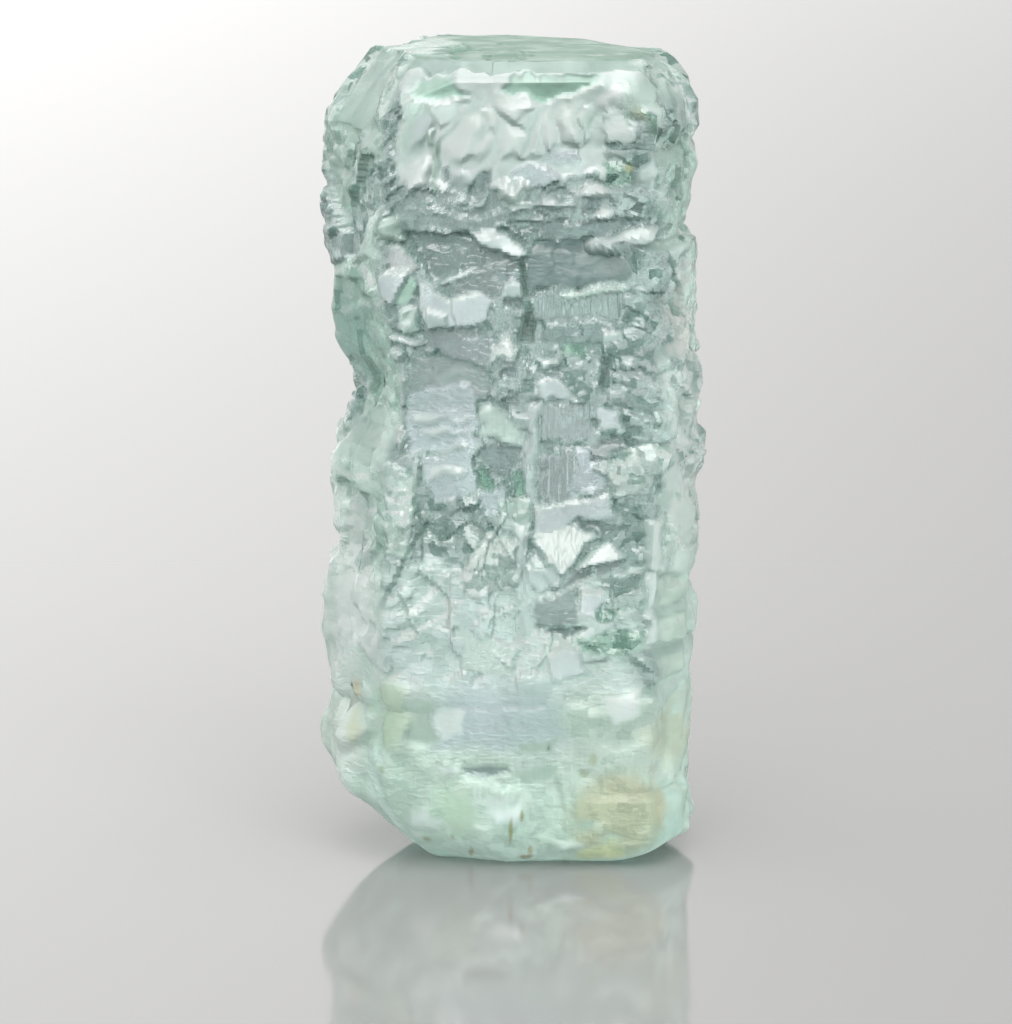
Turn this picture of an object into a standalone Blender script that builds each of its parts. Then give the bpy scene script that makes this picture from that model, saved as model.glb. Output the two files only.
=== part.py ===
"""Aquamarine crystal with an etched surface: one closed solid, standing on its flat base.

A six-sided beryl prism with a flat top face, worn shoulders, a rounded foot and two lumps grown
on at the foot. The surface is one grid, rings of points from the middle of the base, up the
foot, the wall and the shoulder, to the middle of the top. Each point is then pushed along its
own normal by the etched relief.
"""

import math

import bpy
import numpy as np

MM = 0.001

# Real sizes, in millimetres.
HEIGHT = 58.0
PRISM_FACES = (
    # direction the face looks, in degrees, and how far it stands from the axis
    ("front", -90.0, 11.0),
    ("front_right", -30.0, 14.73),
    ("right", 0.0, 13.85),
    ("back_right", 30.0, 13.6),
    ("back", 90.0, 11.0),
    ("back_left", 150.0, 12.4),
    ("left", 180.0, 13.6),
    ("front_left", 210.0, 13.21),
)
EDGE_SHARPNESS = 34.0

# direction in degrees, how far the edge is cut in, how tall the cut is, its roundness (1 is a bevel)
SHOULDER = (
    (-180.0, 4.0, 4.9, 1.2),
    (-140.0, 4.2, 5.2, 1.2),
    (-122.0, 2.2, 2.6, 1.0),
    (-108.0, 1.25, 1.35, 1.0),
    (-60.0, 1.25, 1.35, 1.0),
    (-42.0, 3.2, 3.6, 1.7),
    (-20.0, 5.2, 5.6, 2.2),
    (20.0, 6.2, 6.2, 2.1),
    (48.0, 6.4, 6.0, 2.0),
    (62.0, 4.4, 4.2, 1.7),
    (90.0, 1.3, 1.5, 1.1),
    (115.0, 2.4, 2.6, 1.2),
    (135.0, 4.6, 5.4, 1.3),
    (180.0, 4.0, 4.9, 1.2),
)
FOOT = (
    (-180.0, 7.2, 7.8, 1.3),
    (-140.0, 6.4, 6.2, 1.35),
    (-90.0, 3.4, 2.6, 1.5),
    (-50.0, 4.4, 1.9, 1.6),
    (-20.0, 6.2, 2.0, 1.6),
    (30.0, 6.6, 3.0, 1.5),
    (60.0, 5.0, 3.2, 1.5),
    (90.0, 3.2, 3.4, 1.3),
    (140.0, 6.4, 6.4, 1.3),
    (180.0, 7.2, 7.8, 1.3),
)

# Height and half-width of the two side outlines, with their notches and bulges.
LEFT_WIDTH = 13.95
LEFT_FLANK = (
    (0.0, 13.4),
    (8.2, 13.5),
    (9.3, 13.24),
    (11.0, 12.87),
    (11.5, 12.58),
    (12.2, 13.26),
    (17.0, 13.56),
    (18.5, 13.52),
    (19.9, 13.11),
    (22.9, 12.67),
    (27.2, 12.72),
    (28.7, 13.0),
    (30.15, 12.56),
    (31.6, 11.69),
    (33.1, 11.25),
    (34.5, 11.18),
    (36.0, 11.46),
    (37.4, 12.09),
    (40.3, 12.8),
    (46.0, 13.48),
    (51.0, 13.24),
    (58.0, 13.2),
)
RIGHT_WIDTH = 14.15
RIGHT_FLANK = (
    (0.0, 13.7),
    (5.0, 13.6),
    (5.55, 13.12),
    (6.4, 13.23),
    (11.5, 13.7),
    (15.2, 13.79),
    (16.24, 13.39),
    (16.6, 13.93),
    (18.2, 13.96),
    (18.95, 13.45),
    (20.85, 13.8),
    (25.15, 13.99),
    (26.5, 13.73),
    (28.1, 14.26),
    (30.3, 14.39),
    (30.8, 13.82),
    (36.6, 13.64),
    (37.8, 13.24),
    (43.0, 13.61),
    (44.6, 13.39),
    (45.2, 12.78),
    (46.4, 13.38),
    (50.3, 13.78),
    (51.9, 13.21),
    (53.0, 13.77),
    (58.0, 13.7),
)

# Lumps grown onto the foot: middle (x, y, z) and half-sizes.
LUMPS = (
    ("pale_lump_left", (-10.0, -4.6, 8.0), (2.7, 3.6, 3.7)),
    ("clear_lump_right", (10.6, -4.2, 3.9), (2.6, 3.0, 2.4)),
    ("small_lump_right", (11.1, -2.6, 29.4), (2.7, 3.4, 2.0)),
)

# Etched plates and pits of the front face, laid one over another: level, lean across, lean up, and
# corners (x, z). The level is the height of the middle above the smooth body, and each lean is a
# rise per millimetre.
FRONT_PLATES = (
    ("hillside", 0.15, 0, 0.1, ((-7.7, 49.2), (-6.3, 55.4), (-3.6, 56.5), (10.5, 56.8), (10.4, 49.3))),
    ("ledge_field", 0, 0, -0.1, ((-8.3, 48.6), (-0.7, 49.3), (10.3, 49.9), (10.4, 45.6), (-8.0, 45.6))),
    ("lens_left", 0, 0, 0.2, ((-6.5, 56.3), (-3.7, 56.4), (-2.6, 55.8), (-4.9, 55.3), (-6.7, 55.4))),
    (
        "hill_a",
        0.45,
        -0.25,
        0.12,
        ((-4.8, 55.4), (-2.6, 55.8), (-1.6, 55.2), (-3.2, 53.4), (-4.7, 52.2)),
    ),
    (
        "hill_west",
        0.35,
        0.3,
        0.15,
        ((-6.5, 54.2), (-5.1, 55.5), (-4.8, 52.2), (-5.4, 49.3), (-7.2, 49.3), (-7.5, 51.3)),
    ),
    ("fold_a", 0.5, -0.3, 0.1, ((-4.8, 52.0), (-2.6, 54.2), (-2.9, 51.3), (-3.0, 49.9), (-4.7, 51.0))),
    (
        "fold_b",
        0.7,
        0.28,
        0.2,
        ((-2.6, 54.2), (-1.8, 55.0), (-1.0, 54.9), (-1.2, 51.3), (-1.8, 50.7), (-2.9, 51.3)),
    ),
    ("gable", 0.75, 0, 0.35, ((-1.2, 55.2), (-0.1, 56.1), (1.6, 55.2), (0.6, 53.9))),
    ("fold_c", 0.65, -0.3, 0.15, ((-0.9, 52.9), (-0.1, 54.2), (0.6, 53.6), (1.0, 51.5), (-0.7, 51.3))),
    ("fold_d", 0.45, 0.35, 0.1, ((0.8, 53.4), (2.2, 55.0), (2.8, 54.9), (2.2, 52.7), (1.6, 51.4))),
    ("fold_e", 0.6, -0.3, 0.2, ((2.2, 54.0), (2.8, 54.7), (3.6, 52.9), (3.5, 52.0), (2.1, 52.0))),
    (
        "lens_right",
        0,
        0,
        0.2,
        ((0.0, 56.4), (2.9, 56.7), (7.1, 56.7), (5.0, 55.9), (2.2, 55.3), (0.6, 55.9)),
    ),
    ("white_face", 0.8, 0.12, 0.3, ((2.9, 54.7), (3.5, 55.0), (5.5, 55.3), (4.7, 52.2), (3.6, 52.8))),
    ("mint_face", 0.6, -0.2, 0.2, ((5.1, 55.3), (7.6, 56.6), (7.6, 54.9), (6.5, 54.3), (5.3, 54.0))),
    ("mint_corner", 0.4, 0, 0.1, ((7.6, 56.7), (10.5, 56.7), (10.4, 54.9), (9.6, 54.6), (7.9, 55.0))),
    ("right_hill", 0.3, 0, 0.05, ((6.4, 54.0), (9.9, 54.7), (10.3, 52.1), (9.0, 51.3), (6.8, 52.1))),
    ("white_below", 0.55, 0, 0.3, ((7.0, 52.0), (8.8, 52.4), (9.1, 51.2), (7.5, 51.1))),
    (
        "smooth_lavender",
        0.2,
        0,
        0.15,
        ((2.9, 52.0), (4.9, 52.2), (4.9, 51.3), (3.5, 50.6), (2.4, 51.1)),
    ),
    ("fan", 0.15, 0.1, -0.12, ((0.0, 49.9), (1.3, 50.7), (2.9, 51.3), (4.1, 49.9), (2.4, 48.9))),
    ("fan_left", 0.3, -0.15, 0.1, ((0.0, 49.9), (1.3, 50.7), (2.0, 49.9), (2.2, 48.9))),
    (
        "dark_patch",
        -0.3,
        0,
        -0.2,
        ((-2.8, 49.2), (-1.8, 50.4), (-1.1, 50.6), (-1.2, 49.2), (-2.5, 48.6)),
    ),
    ("white_tab", 0.5, 0.1, 0.3, ((-0.7, 49.3), (0.4, 49.7), (1.3, 49.2), (1.0, 48.4), (-0.5, 48.6))),
    (
        "bright_left",
        0.6,
        0.25,
        0.35,
        ((-7.3, 49.3), (-6.4, 51.3), (-5.4, 52.4), (-5.3, 50.0), (-6.5, 49.1)),
    ),
    ("ledge_lens", -0.1, 0, -0.2, ((0.4, 47.5), (2.4, 48.2), (4.5, 47.5), (2.4, 47.1))),
    ("ledge_clump", 0.2, 0, 0, ((7.2, 49.3), (10.7, 49.3), (9.9, 47.1), (7.6, 47.3))),
    ("pale_plate", 0.45, 0.25, 0.1, ((-9.5, 47.2), (-7.9, 47.2), (-7.2, 45.6), (-9.6, 45.6))),
    (
        "upper_band",
        -0.05,
        0,
        -0.22,
        ((-0.9, 47.0), (10.4, 47.0), (9.9, 46.1), (5.4, 45.2), (1.8, 45.4)),
    ),
    (
        "window_left",
        -0.1,
        0.05,
        -0.24,
        ((-7.5, 46.1), (-2.6, 46.1), (1.1, 44.2), (1.1, 42.6), (-1.2, 41.6), (-3.7, 41.7), (-5.1, 42.8)),
    ),
    (
        "window_right",
        -0.1,
        -0.05,
        -0.2,
        ((1.3, 45.0), (5.7, 45.6), (8.6, 44.4), (8.6, 42.5), (1.6, 42.0)),
    ),
    ("streak", -0.25, 0, -0.3, ((-0.7, 46.6), (0.2, 46.7), (2.0, 45.0), (1.0, 45.0))),
    (
        "flake_left",
        0.7,
        -0.15,
        -0.42,
        ((-2.6, 46.2), (-0.7, 46.3), (2.0, 44.6), (0.8, 44.2), (-1.8, 45.2)),
    ),
    (
        "flake_right",
        0.7,
        0.15,
        -0.42,
        ((5.3, 45.1), (8.4, 46.3), (11.0, 46.4), (10.7, 45.7), (7.1, 44.4), (5.9, 44.6)),
    ),
    (
        "apron_top",
        0.3,
        0.2,
        0.1,
        ((-8.3, 45.4), (-7.4, 45.3), (-6.0, 43.5), (-6.9, 42.9), (-8.3, 43.2)),
    ),
    (
        "apron_main",
        0.7,
        -0.12,
        0.22,
        ((-6.2, 43.3), (-5.0, 42.4), (-2.6, 41.1), (-2.6, 39.2), (-5.4, 39.2), (-6.0, 40.6)),
    ),
    (
        "apron_right",
        0.55,
        -0.3,
        0.1,
        ((-3.7, 41.7), (-0.7, 41.7), (-1.4, 39.8), (-2.6, 39.2), (-3.5, 39.2)),
    ),
    (
        "apron_left",
        0.65,
        0.25,
        0.2,
        ((-8.3, 43.3), (-6.8, 43.3), (-7.8, 40.7), (-9.0, 41.0), (-9.3, 41.6)),
    ),
    ("apron_green", 0.35, 0.3, 0, ((-6.9, 42.9), (-6.2, 42.4), (-6.7, 40.7), (-8.0, 40.8))),
    ("apron_tab", 0.8, 0, 0.35, ((-5.5, 40.8), (-3.9, 40.2), (-4.1, 39.2), (-5.4, 39.2))),
    ("apron_step", 0.3, 0, 0, ((-7.5, 40.6), (-6.0, 40.6), (-5.8, 38.7), (-7.1, 38.7))),
    ("cleft_low", -0.8, 0.2, 0, ((1.1, 40.0), (1.4, 40.5), (1.9, 40.4), (2.2, 38.2), (0.9, 38.1))),
    ("fine_field", 0.05, 0, 0.05, ((1.9, 42.0), (8.5, 41.9), (8.4, 39.7), (3.0, 39.5), (2.0, 40.4))),
    (
        "mint_bar",
        0.4,
        0,
        0.25,
        ((3.6, 41.7), (6.1, 42.3), (9.2, 42.1), (8.4, 41.7), (6.4, 41.5), (3.6, 41.3)),
    ),
    ("pale_field", 0.15, 0, 0.15, ((2.4, 39.7), (8.4, 39.7), (8.4, 38.0), (4.3, 38.0), (2.7, 38.5))),
    (
        "window_mid",
        -0.05,
        0,
        -0.22,
        ((-6.0, 39.1), (-1.8, 39.2), (-0.7, 38.3), (-1.1, 36.3), (-3.6, 36.8), (-5.5, 38.0)),
    ),
    (
        "window_mid_low",
        0.05,
        0,
        -0.12,
        ((-6.9, 37.1), (-3.6, 37.3), (-1.1, 36.6), (-1.2, 34.2), (-6.8, 34.2)),
    ),
    ("left_column", 0.2, 0.1, 0.1, ((-8.5, 36.8), (-7.1, 36.6), (-7.1, 34.2), (-8.8, 34.2))),
    (
        "clump_mid",
        0.25,
        0,
        0,
        ((-1.5, 37.3), (1.0, 38.1), (3.0, 38.5), (4.3, 38.0), (3.8, 36.3), (2.1, 34.2), (-0.7, 34.2)),
    ),
    (
        "clump_right",
        0.3,
        0,
        0,
        ((7.4, 37.7), (8.5, 39.1), (10.2, 41.1), (10.6, 39.7), (10.6, 34.2), (7.1, 34.2)),
    ),
    ("light_plate", 0.4, 0, 0.2, ((2.1, 35.4), (3.5, 35.9), (4.8, 34.7), (5.2, 34.2), (2.4, 34.2))),
    ("window_d", 0.05, 0.05, 0.12, ((-7.0, 34.3), (-2.2, 35.4), (-2.2, 30.9), (-7.0, 30.1))),
    (
        "window_d_low",
        0,
        -0.05,
        0.15,
        ((-6.1, 29.9), (-2.2, 30.7), (-2.0, 27.7), (-5.0, 26.5), (-5.8, 28.5)),
    ),
    ("window_e", 0.15, 0, 0.1, ((-2.1, 33.8), (-0.7, 34.1), (1.3, 32.3), (1.2, 31.0), (-1.9, 31.0))),
    (
        "window_f",
        -0.15,
        0,
        -0.2,
        ((-2.1, 30.6), (-0.7, 31.1), (1.3, 30.9), (0.8, 29.6), (0.0, 28.4), (-0.7, 28.7), (-1.8, 29.9)),
    ),
    ("below_nick", 0.1, 0, 0.1, ((-1.8, 27.5), (0.0, 28.2), (0.0, 26.5), (-1.8, 25.7))),
    ("green_stripes", -0.4, 0, 0, ((0.5, 29.1), (1.6, 29.1), (1.6, 27.2), (0.5, 27.4))),
    ("mid_column", 0.45, 0.1, 0.1, ((1.4, 33.8), (2.3, 34.0), (2.3, 26.5), (1.5, 26.5))),
    ("striated_h", 0.1, 0, 0.05, ((2.4, 33.8), (6.3, 34.0), (6.0, 31.2), (2.5, 31.1))),
    ("striated_i", 0.05, 0, 0, ((2.3, 30.4), (4.8, 30.4), (4.8, 26.7), (2.3, 27.0))),
    ("wavy_j", 0.15, 0, 0.1, ((4.8, 30.9), (6.5, 30.8), (6.9, 28.2), (4.9, 27.5))),
    ("white_k", 0.25, 0, 0.18, ((1.8, 26.5), (7.5, 27.5), (7.7, 25.6), (2.0, 24.3))),
    ("pale_l", 0.2, 0, 0.15, ((6.3, 33.6), (8.2, 33.5), (8.2, 32.0), (6.6, 31.9))),
    ("dark_wedge", -0.25, 0, -0.25, ((6.3, 31.5), (8.4, 31.7), (9.0, 30.9), (6.8, 30.0))),
    (
        "clump_round",
        0.6,
        0,
        0.1,
        ((6.3, 29.3), (8.3, 30.5), (10.6, 31.0), (11.4, 29.9), (10.0, 27.1), (7.9, 27.2), (6.5, 28.7)),
    ),
    ("clump_upper", 0.3, 0, 0, ((8.4, 35.6), (10.5, 35.6), (10.5, 30.9), (9.0, 31.4), (8.3, 33.3))),
    ("grey_wedge", -0.2, 0, -0.28, ((4.2, 25.2), (5.1, 25.7), (7.7, 25.1), (8.0, 24.8), (6.6, 24.2))),
    (
        "rough_grey",
        -0.1,
        0,
        -0.1,
        ((-6.5, 26.2), (-1.2, 25.7), (-1.8, 24.5), (-2.9, 23.6), (-6.1, 23.4)),
    ),
    ("low_clump", 0.2, 0, 0, ((-0.9, 27.1), (1.7, 27.1), (1.3, 24.4), (-0.4, 24.7))),
    ("left_lavender", 0.15, 0.1, 0.1, ((-8.8, 34.2), (-7.1, 34.2), (-7.4, 30.9), (-8.6, 30.9))),
    ("left_mint", 0.25, 0, 0, ((-8.8, 29.9), (-6.4, 28.5), (-6.5, 22.8), (-8.4, 22.8))),
    ("low_field", 0.1, 0, 0.05, ((-9.6, 22.7), (9.8, 22.7), (9.8, 12.6), (-9.7, 12.6))),
    ("mid_strip", 0.4, 0.1, 0.15, ((0.8, 24.7), (1.7, 24.7), (2.1, 17.0), (1.1, 17.0))),
    (
        "white_clump",
        0.45,
        0,
        0.1,
        ((-3.2, 22.5), (-1.3, 24.7), (1.1, 23.9), (0.9, 21.0), (-1.6, 20.1), (-3.1, 20.5)),
    ),
    ("chevron_a", 0.6, 0, -0.42, ((2.1, 24.2), (4.7, 25.3), (6.2, 24.3), (4.2, 21.7), (2.7, 22.5))),
    ("chevron_b", 0.8, 0, -0.45, ((4.4, 21.7), (7.2, 24.2), (8.6, 22.7), (6.5, 22.2))),
    ("white_triangle", 0.45, 0, 0.3, ((1.3, 22.3), (3.3, 22.3), (4.3, 21.5), (2.4, 20.2), (1.5, 21.0))),
    ("underside", -0.1, 0, -0.25, ((1.6, 19.8), (6.2, 22.3), (6.4, 21.1), (4.1, 20.5), (1.8, 19.5))),
    ("underside_right", -0.1, 0, -0.25, ((6.2, 22.3), (8.7, 22.6), (8.4, 22.2), (6.4, 21.1))),
    ("stippled_light", 0.15, 0, 0.05, ((2.0, 19.5), (5.1, 20.7), (5.2, 18.1), (2.3, 17.8))),
    ("smooth_light", 0.3, 0, 0.2, ((5.2, 20.5), (7.0, 20.6), (6.8, 18.9), (5.2, 18.4))),
    ("lens", -0.5, 0, -0.28, ((2.3, 17.8), (6.2, 17.8), (4.2, 16.8))),
    ("grey_rough", 0.2, 0, 0, ((6.8, 21.3), (9.8, 22.0), (9.8, 19.1), (6.9, 19.5))),
    ("dark_rough", 0.1, 0, -0.1, ((5.0, 17.1), (9.8, 17.6), (9.9, 15.8), (7.5, 15.5), (5.3, 15.8))),
    ("shard", 0.35, 0, 0.15, ((3.0, 15.7), (4.1, 16.8), (5.3, 15.7), (5.9, 14.3), (3.3, 14.0))),
    ("fine_mint", 0.1, 0, 0.05, ((-3.7, 17.9), (1.0, 16.5), (0.7, 14.0), (-2.9, 14.6))),
    ("right_column", 0.35, 0.2, 0.1, ((9.9, 25.6), (11.2, 25.6), (11.3, 15.8), (9.9, 15.8))),
    ("milk_lavender", 0.1, 0, 0.05, ((-5.4, 14.0), (3.7, 14.0), (5.3, 9.3), (2.0, 8.0), (-5.5, 8.5))),
    ("line_a", -0.15, 0, -0.2, ((-4.0, 12.1), (3.0, 12.3), (2.9, 11.9), (-4.0, 11.7))),
    ("foot_window", 0, 0, -0.15, ((0.2, 8.0), (3.0, 8.2), (3.4, 6.7), (1.1, 6.3))),
    ("dark_lens", -0.4, 0, -0.25, ((-3.2, 7.7), (0.0, 7.8), (0.2, 7.4), (-1.6, 6.8), (-2.9, 7.0))),
    ("foot_pale", 0.3, 0, 0.15, ((-1.7, 6.0), (2.0, 6.0), (2.7, 3.9), (-1.6, 3.9))),
)

# The same on the flat top face, with corners (x, y).
TOP_PLATES = (
    ("terrace_left", 0.3, 0.06, 0.0, ((-9.5, -8.0), (-4.2, -9.4), (-3.0, 3.0), (-6.5, 4.5))),
    ("crust_front", -0.3, 0.0, 0.0, ((-1.9, -8.6), (1.4, -8.9), (1.7, -5.0), (-1.2, -4.4))),
    ("crust_back", -0.25, 0.0, 0.0, ((-1.4, -3.2), (1.2, -3.8), (1.6, 1.8), (-0.4, 2.6))),
    ("streak_front", -0.2, 0.0, 0.0, ((5.2, -5.6), (9.0, -4.2), (8.6, -3.4), (4.8, -4.6))),
    ("streak_back", -0.2, 0.0, 0.0, ((4.0, 0.2), (8.4, 1.4), (8.0, 2.2), (3.8, 1.4))),
)
PLATE_EDGE = 0.5

# Etched relief over the whole crystal. The girth is the distance round, which every size across
# divides into whole cells.
GIRTH = 79.2
# Blocky tilted facets: size across, size up, depth, lean, seed.
BLOCKS = (4.95, 7.2, 0.5, 0.22, 11)
FACETS = (2.4, 3.0, 0.4, 0.6, 37)
# Wavy ledges that climb and drop back: pitch up, depth.
LEDGES = (2.9, 0.2)

# Grid: points round, and rings in the base, foot, wall, shoulder and top.
COLUMNS = 240
RINGS = (4, 12, 130, 12, 14)
KEPT_SHARE = 0.12


def smoothstep(low, high, value):
    """0 below low, 1 above high, and a smooth rise between them."""
    t = np.clip((value - low) / (high - low), 0.0, 1.0)
    return t * t * (3.0 - 2.0 * t)


def random_of(ix, iy, iz, seed):
    """A fixed random number from 0 to 1 for each whole-number cell."""
    h = ix * 374761393 + iy * 668265263 + iz * 1440662683 + seed * 1274126177
    h = h & 0xFFFFFFFF
    h = ((h ^ (h >> 13)) * 1274126177) & 0xFFFFFFFF
    h = ((h ^ (h >> 15)) * 2246822519) & 0xFFFFFFFF
    return ((h ^ (h >> 16)) & 0xFFFFFFFF) / 4294967295.0


def noise(along, up, across_size, up_size, seed):
    """Smooth noise from -1 to 1, with no seam round the crystal."""
    around = round(GIRTH / across_size)
    x, y = along / across_size, up / up_size
    ix, iy = np.floor(x).astype(np.int64), np.floor(y).astype(np.int64)
    fx, fy = x - ix, y - iy
    fx, fy = fx * fx * (3.0 - 2.0 * fx), fy * fy * (3.0 - 2.0 * fy)
    left, right = ix % around, (ix + 1) % around
    low = random_of(left, iy, 0, seed) * (1.0 - fx) + random_of(right, iy, 0, seed) * fx
    iy = iy + 1
    high = random_of(left, iy, 0, seed) * (1.0 - fx) + random_of(right, iy, 0, seed) * fx
    return 2.0 * (low * (1.0 - fy) + high * fy) - 1.0


def facets(along, up, sizes):
    """Flat tilted facets, blocky and without a seam round the crystal.

    `along` is the distance round and `up` the distance up the surface. Each point takes the
    tilted plane of its nearest seed, and the seeds are scattered one to a cell.
    """
    across_size, up_size, depth, lean, seed = sizes
    around = round(GIRTH / across_size)
    x, y = along / across_size, up / up_size
    ix, iy = np.floor(x).astype(np.int64), np.floor(y).astype(np.int64)
    nearest = np.full(x.shape, 1e9)
    height = np.zeros(x.shape)
    for dx in (-1, 0, 1):
        for dy in (-1, 0, 1):
            column, row = (ix + dx) % around, iy + dy
            away_x = x - ix - dx - random_of(column, row, 0, seed)
            away_y = y - row - random_of(column, row, 1, seed)
            tilt_x = (random_of(column, row, 2, seed) - 0.5) * lean * across_size
            tilt_y = (random_of(column, row, 3, seed) - 0.5) * lean * up_size
            level = (random_of(column, row, 4, seed) - 0.5) * depth
            plane = level + tilt_x * away_x + tilt_y * away_y
            far = np.abs(away_x) ** 3 + np.abs(away_y) ** 3
            closer = far < nearest
            height = np.where(closer, plane, height)
            nearest = np.where(closer, far, nearest)
    return np.clip(height, -depth, depth)


def ledges(along, up, pitch):
    """Wavy ledges from 0 to 1 that lean out as they climb and then drop back."""
    turn = 2.0 * math.pi * along / GIRTH
    wave = 0.35 * np.sin(5.0 * turn + 1.0) + 0.25 * np.sin(11.0 * turn + 0.04 * up)
    step = up / pitch + wave + 0.5 * noise(along, up, 3.3, 4.0, 5)
    part = step - np.floor(step)
    return np.where(part < 0.85, part / 0.85, (1.0 - part) / 0.15)


def prism_radius(angle):
    """Distance from the axis to the six-sided prism, with worn edges."""
    total = np.zeros_like(angle)
    for _, looks, distance in PRISM_FACES:
        toward = np.maximum(np.cos(angle - math.radians(looks)), 0.0)
        total = total + (toward / distance) ** EDGE_SHARPNESS
    return total ** (-1.0 / EDGE_SHARPNESS)


def round_table(table, angle):
    """Cut depth, cut height and roundness at each angle, from a table of directions."""
    rows = np.array(table)
    degrees = np.degrees(angle)
    return [np.interp(degrees, rows[:, 0], rows[:, k]) for k in (1, 2, 3)]


def flank_shift(angle, height):
    """How far the two side outlines stand out from the plain prism at this height."""
    left = np.array(LEFT_FLANK)
    right = np.array(RIGHT_FLANK)
    left_shift = np.interp(height, left[:, 0], left[:, 1]) - LEFT_WIDTH
    right_shift = np.interp(height, right[:, 0], right[:, 1]) - RIGHT_WIDTH
    left_share = smoothstep(0.35, 0.9, np.cos(angle - math.radians(-168.0)))
    right_share = smoothstep(0.35, 0.9, np.cos(angle - math.radians(-14.0)))
    return left_shift * left_share + right_shift * right_share


def lump_radius(angle, height, middle, half):
    """Distance from the axis to the far side of a lump, or 0 where the lump isn't met."""
    across = np.cos(angle) / half[0]
    along = np.sin(angle) / half[1]
    mx = middle[0] / half[0]
    my = middle[1] / half[1]
    mz = (height - middle[2]) / half[2]
    a = across * across + along * along
    b = across * mx + along * my
    inside = b * b - a * (mx * mx + my * my + mz * mz - 1.0)
    return np.where(inside > 0.0, (b + np.sqrt(np.maximum(inside, 0.0))) / a, 0.0)


def side_radius(angle, height, inset):
    """Distance from the axis to the side of the crystal before the relief."""
    radius = prism_radius(angle) + flank_shift(angle, height) - inset
    for _, middle, half in LUMPS:
        radius = np.maximum(radius, lump_radius(angle, height, middle, half))
    return radius


def smooth_body(columns, rings):
    """The grid before the relief, from the middle of the base up: points, and distance up."""
    angle = np.linspace(-math.pi, math.pi, columns, endpoint=False)[None, :]
    foot_in, foot_tall, foot_round = round_table(FOOT, angle)
    top_in, top_tall, top_round = round_table(SHOULDER, angle)
    base, foot, wall, shoulder, top = rings

    sweep = np.linspace(0.0, math.pi / 2.0, foot + 1)[:, None]
    foot_z = foot_tall * (1.0 - np.cos(sweep) ** (2.0 / foot_round))
    foot_inset = foot_in * (1.0 - np.sin(sweep) ** (2.0 / foot_round))
    foot_r = side_radius(angle, foot_z, foot_inset)

    climb = np.linspace(0.0, 1.0, wall + 1)[1:-1, None]
    wall_z = foot_tall + climb * (HEIGHT - top_tall - foot_tall)
    wall_r = side_radius(angle, wall_z, 0.0)

    sweep = np.linspace(0.0, math.pi / 2.0, shoulder + 1)[:, None]
    shoulder_z = HEIGHT - top_tall * (1.0 - np.sin(sweep) ** (2.0 / top_round))
    shoulder_inset = top_in * (1.0 - np.cos(sweep) ** (2.0 / top_round))
    shoulder_r = side_radius(angle, shoulder_z, shoulder_inset)

    share = np.linspace(0.0, 1.0, base + 1)[1:-1, None]
    base_r = foot_r[:1] * share
    share = np.linspace(1.0, 0.0, top + 1)[1:-1, None]
    top_r = shoulder_r[-1:] * share

    radius = np.concatenate((base_r, foot_r, wall_r, shoulder_r, top_r))
    height = np.concatenate(
        (np.zeros_like(base_r), foot_z, wall_z, shoulder_z, np.full_like(top_r, HEIGHT))
    )
    body = np.stack((radius * np.cos(angle), radius * np.sin(angle), height), -1)
    return body, height + np.maximum(shoulder_r[-1:] - radius, 0.0) * (height > HEIGHT - 0.01)


def outward(body):
    """Unit normals of the grid."""
    round_step = np.roll(body, -1, axis=1) - np.roll(body, 1, axis=1)
    up_step = np.gradient(body, axis=0)
    normal = np.cross(round_step, up_step)
    length = np.linalg.norm(normal, axis=-1, keepdims=True)
    return normal / np.maximum(length, 1e-9)


def inside_of(x, y, corners):
    """Distance in from the nearest side of a convex outline, negative outside it."""
    turn = 0.0
    for (x0, y0), (x1, y1) in zip(corners, corners[1:] + corners[:1]):
        turn += x0 * y1 - x1 * y0
    inside = np.full(x.shape, 1e9)
    for (x0, y0), (x1, y1) in zip(corners, corners[1:] + corners[:1]):
        length = math.hypot(x1 - x0, y1 - y0)
        away = ((x1 - x0) * (y - y0) - (y1 - y0) * (x - x0)) / length
        inside = np.minimum(inside, away if turn > 0.0 else -away)
    return inside


def lay_plates(x, y, height, plates, share):
    """Covers the relief with each tilted plate in turn, where share lets it."""
    for _, level, lean_x, lean_y, corners in plates:
        cover = share * smoothstep(-0.2 * PLATE_EDGE, 0.8 * PLATE_EDGE, inside_of(x, y, corners))
        middle_x = sum(corner[0] for corner in corners) / len(corners)
        middle_y = sum(corner[1] for corner in corners) / len(corners)
        plane = level + lean_x * (x - middle_x) + lean_y * (y - middle_y)
        height = height * (1.0 - cover) + plane * cover
    return height


def crystal_points(columns, rings):
    """The finished grid: the smooth body pushed along its normals by the relief."""
    body, up = smooth_body(columns, rings)
    along = np.arctan2(body[..., 1], body[..., 0]) * GIRTH / (2.0 * math.pi)
    normal = outward(body)
    x, y, z = body[..., 0], body[..., 1], body[..., 2]
    front = smoothstep(0.35, 0.8, -normal[..., 1])
    behind = smoothstep(0.2, 0.7, normal[..., 1])
    flat_top = smoothstep(0.8, 0.97, normal[..., 2])
    height = facets(along, up, BLOCKS) + facets(along, up, FACETS)
    pitch, depth = LEDGES
    height = height + depth * (ledges(along, up, pitch) - 0.5)
    height = height * (1.0 - flat_top) * (1.0 - 0.4 * behind)
    height = lay_plates(x, z, height, FRONT_PLATES, front)
    height = lay_plates(x, y, height, TOP_PLATES, flat_top)
    height = height * smoothstep(0.2, 2.0, z)
    points = body + normal * height[..., None]
    points[..., 2] = np.clip(points[..., 2], 0.0, None)
    return points


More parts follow.
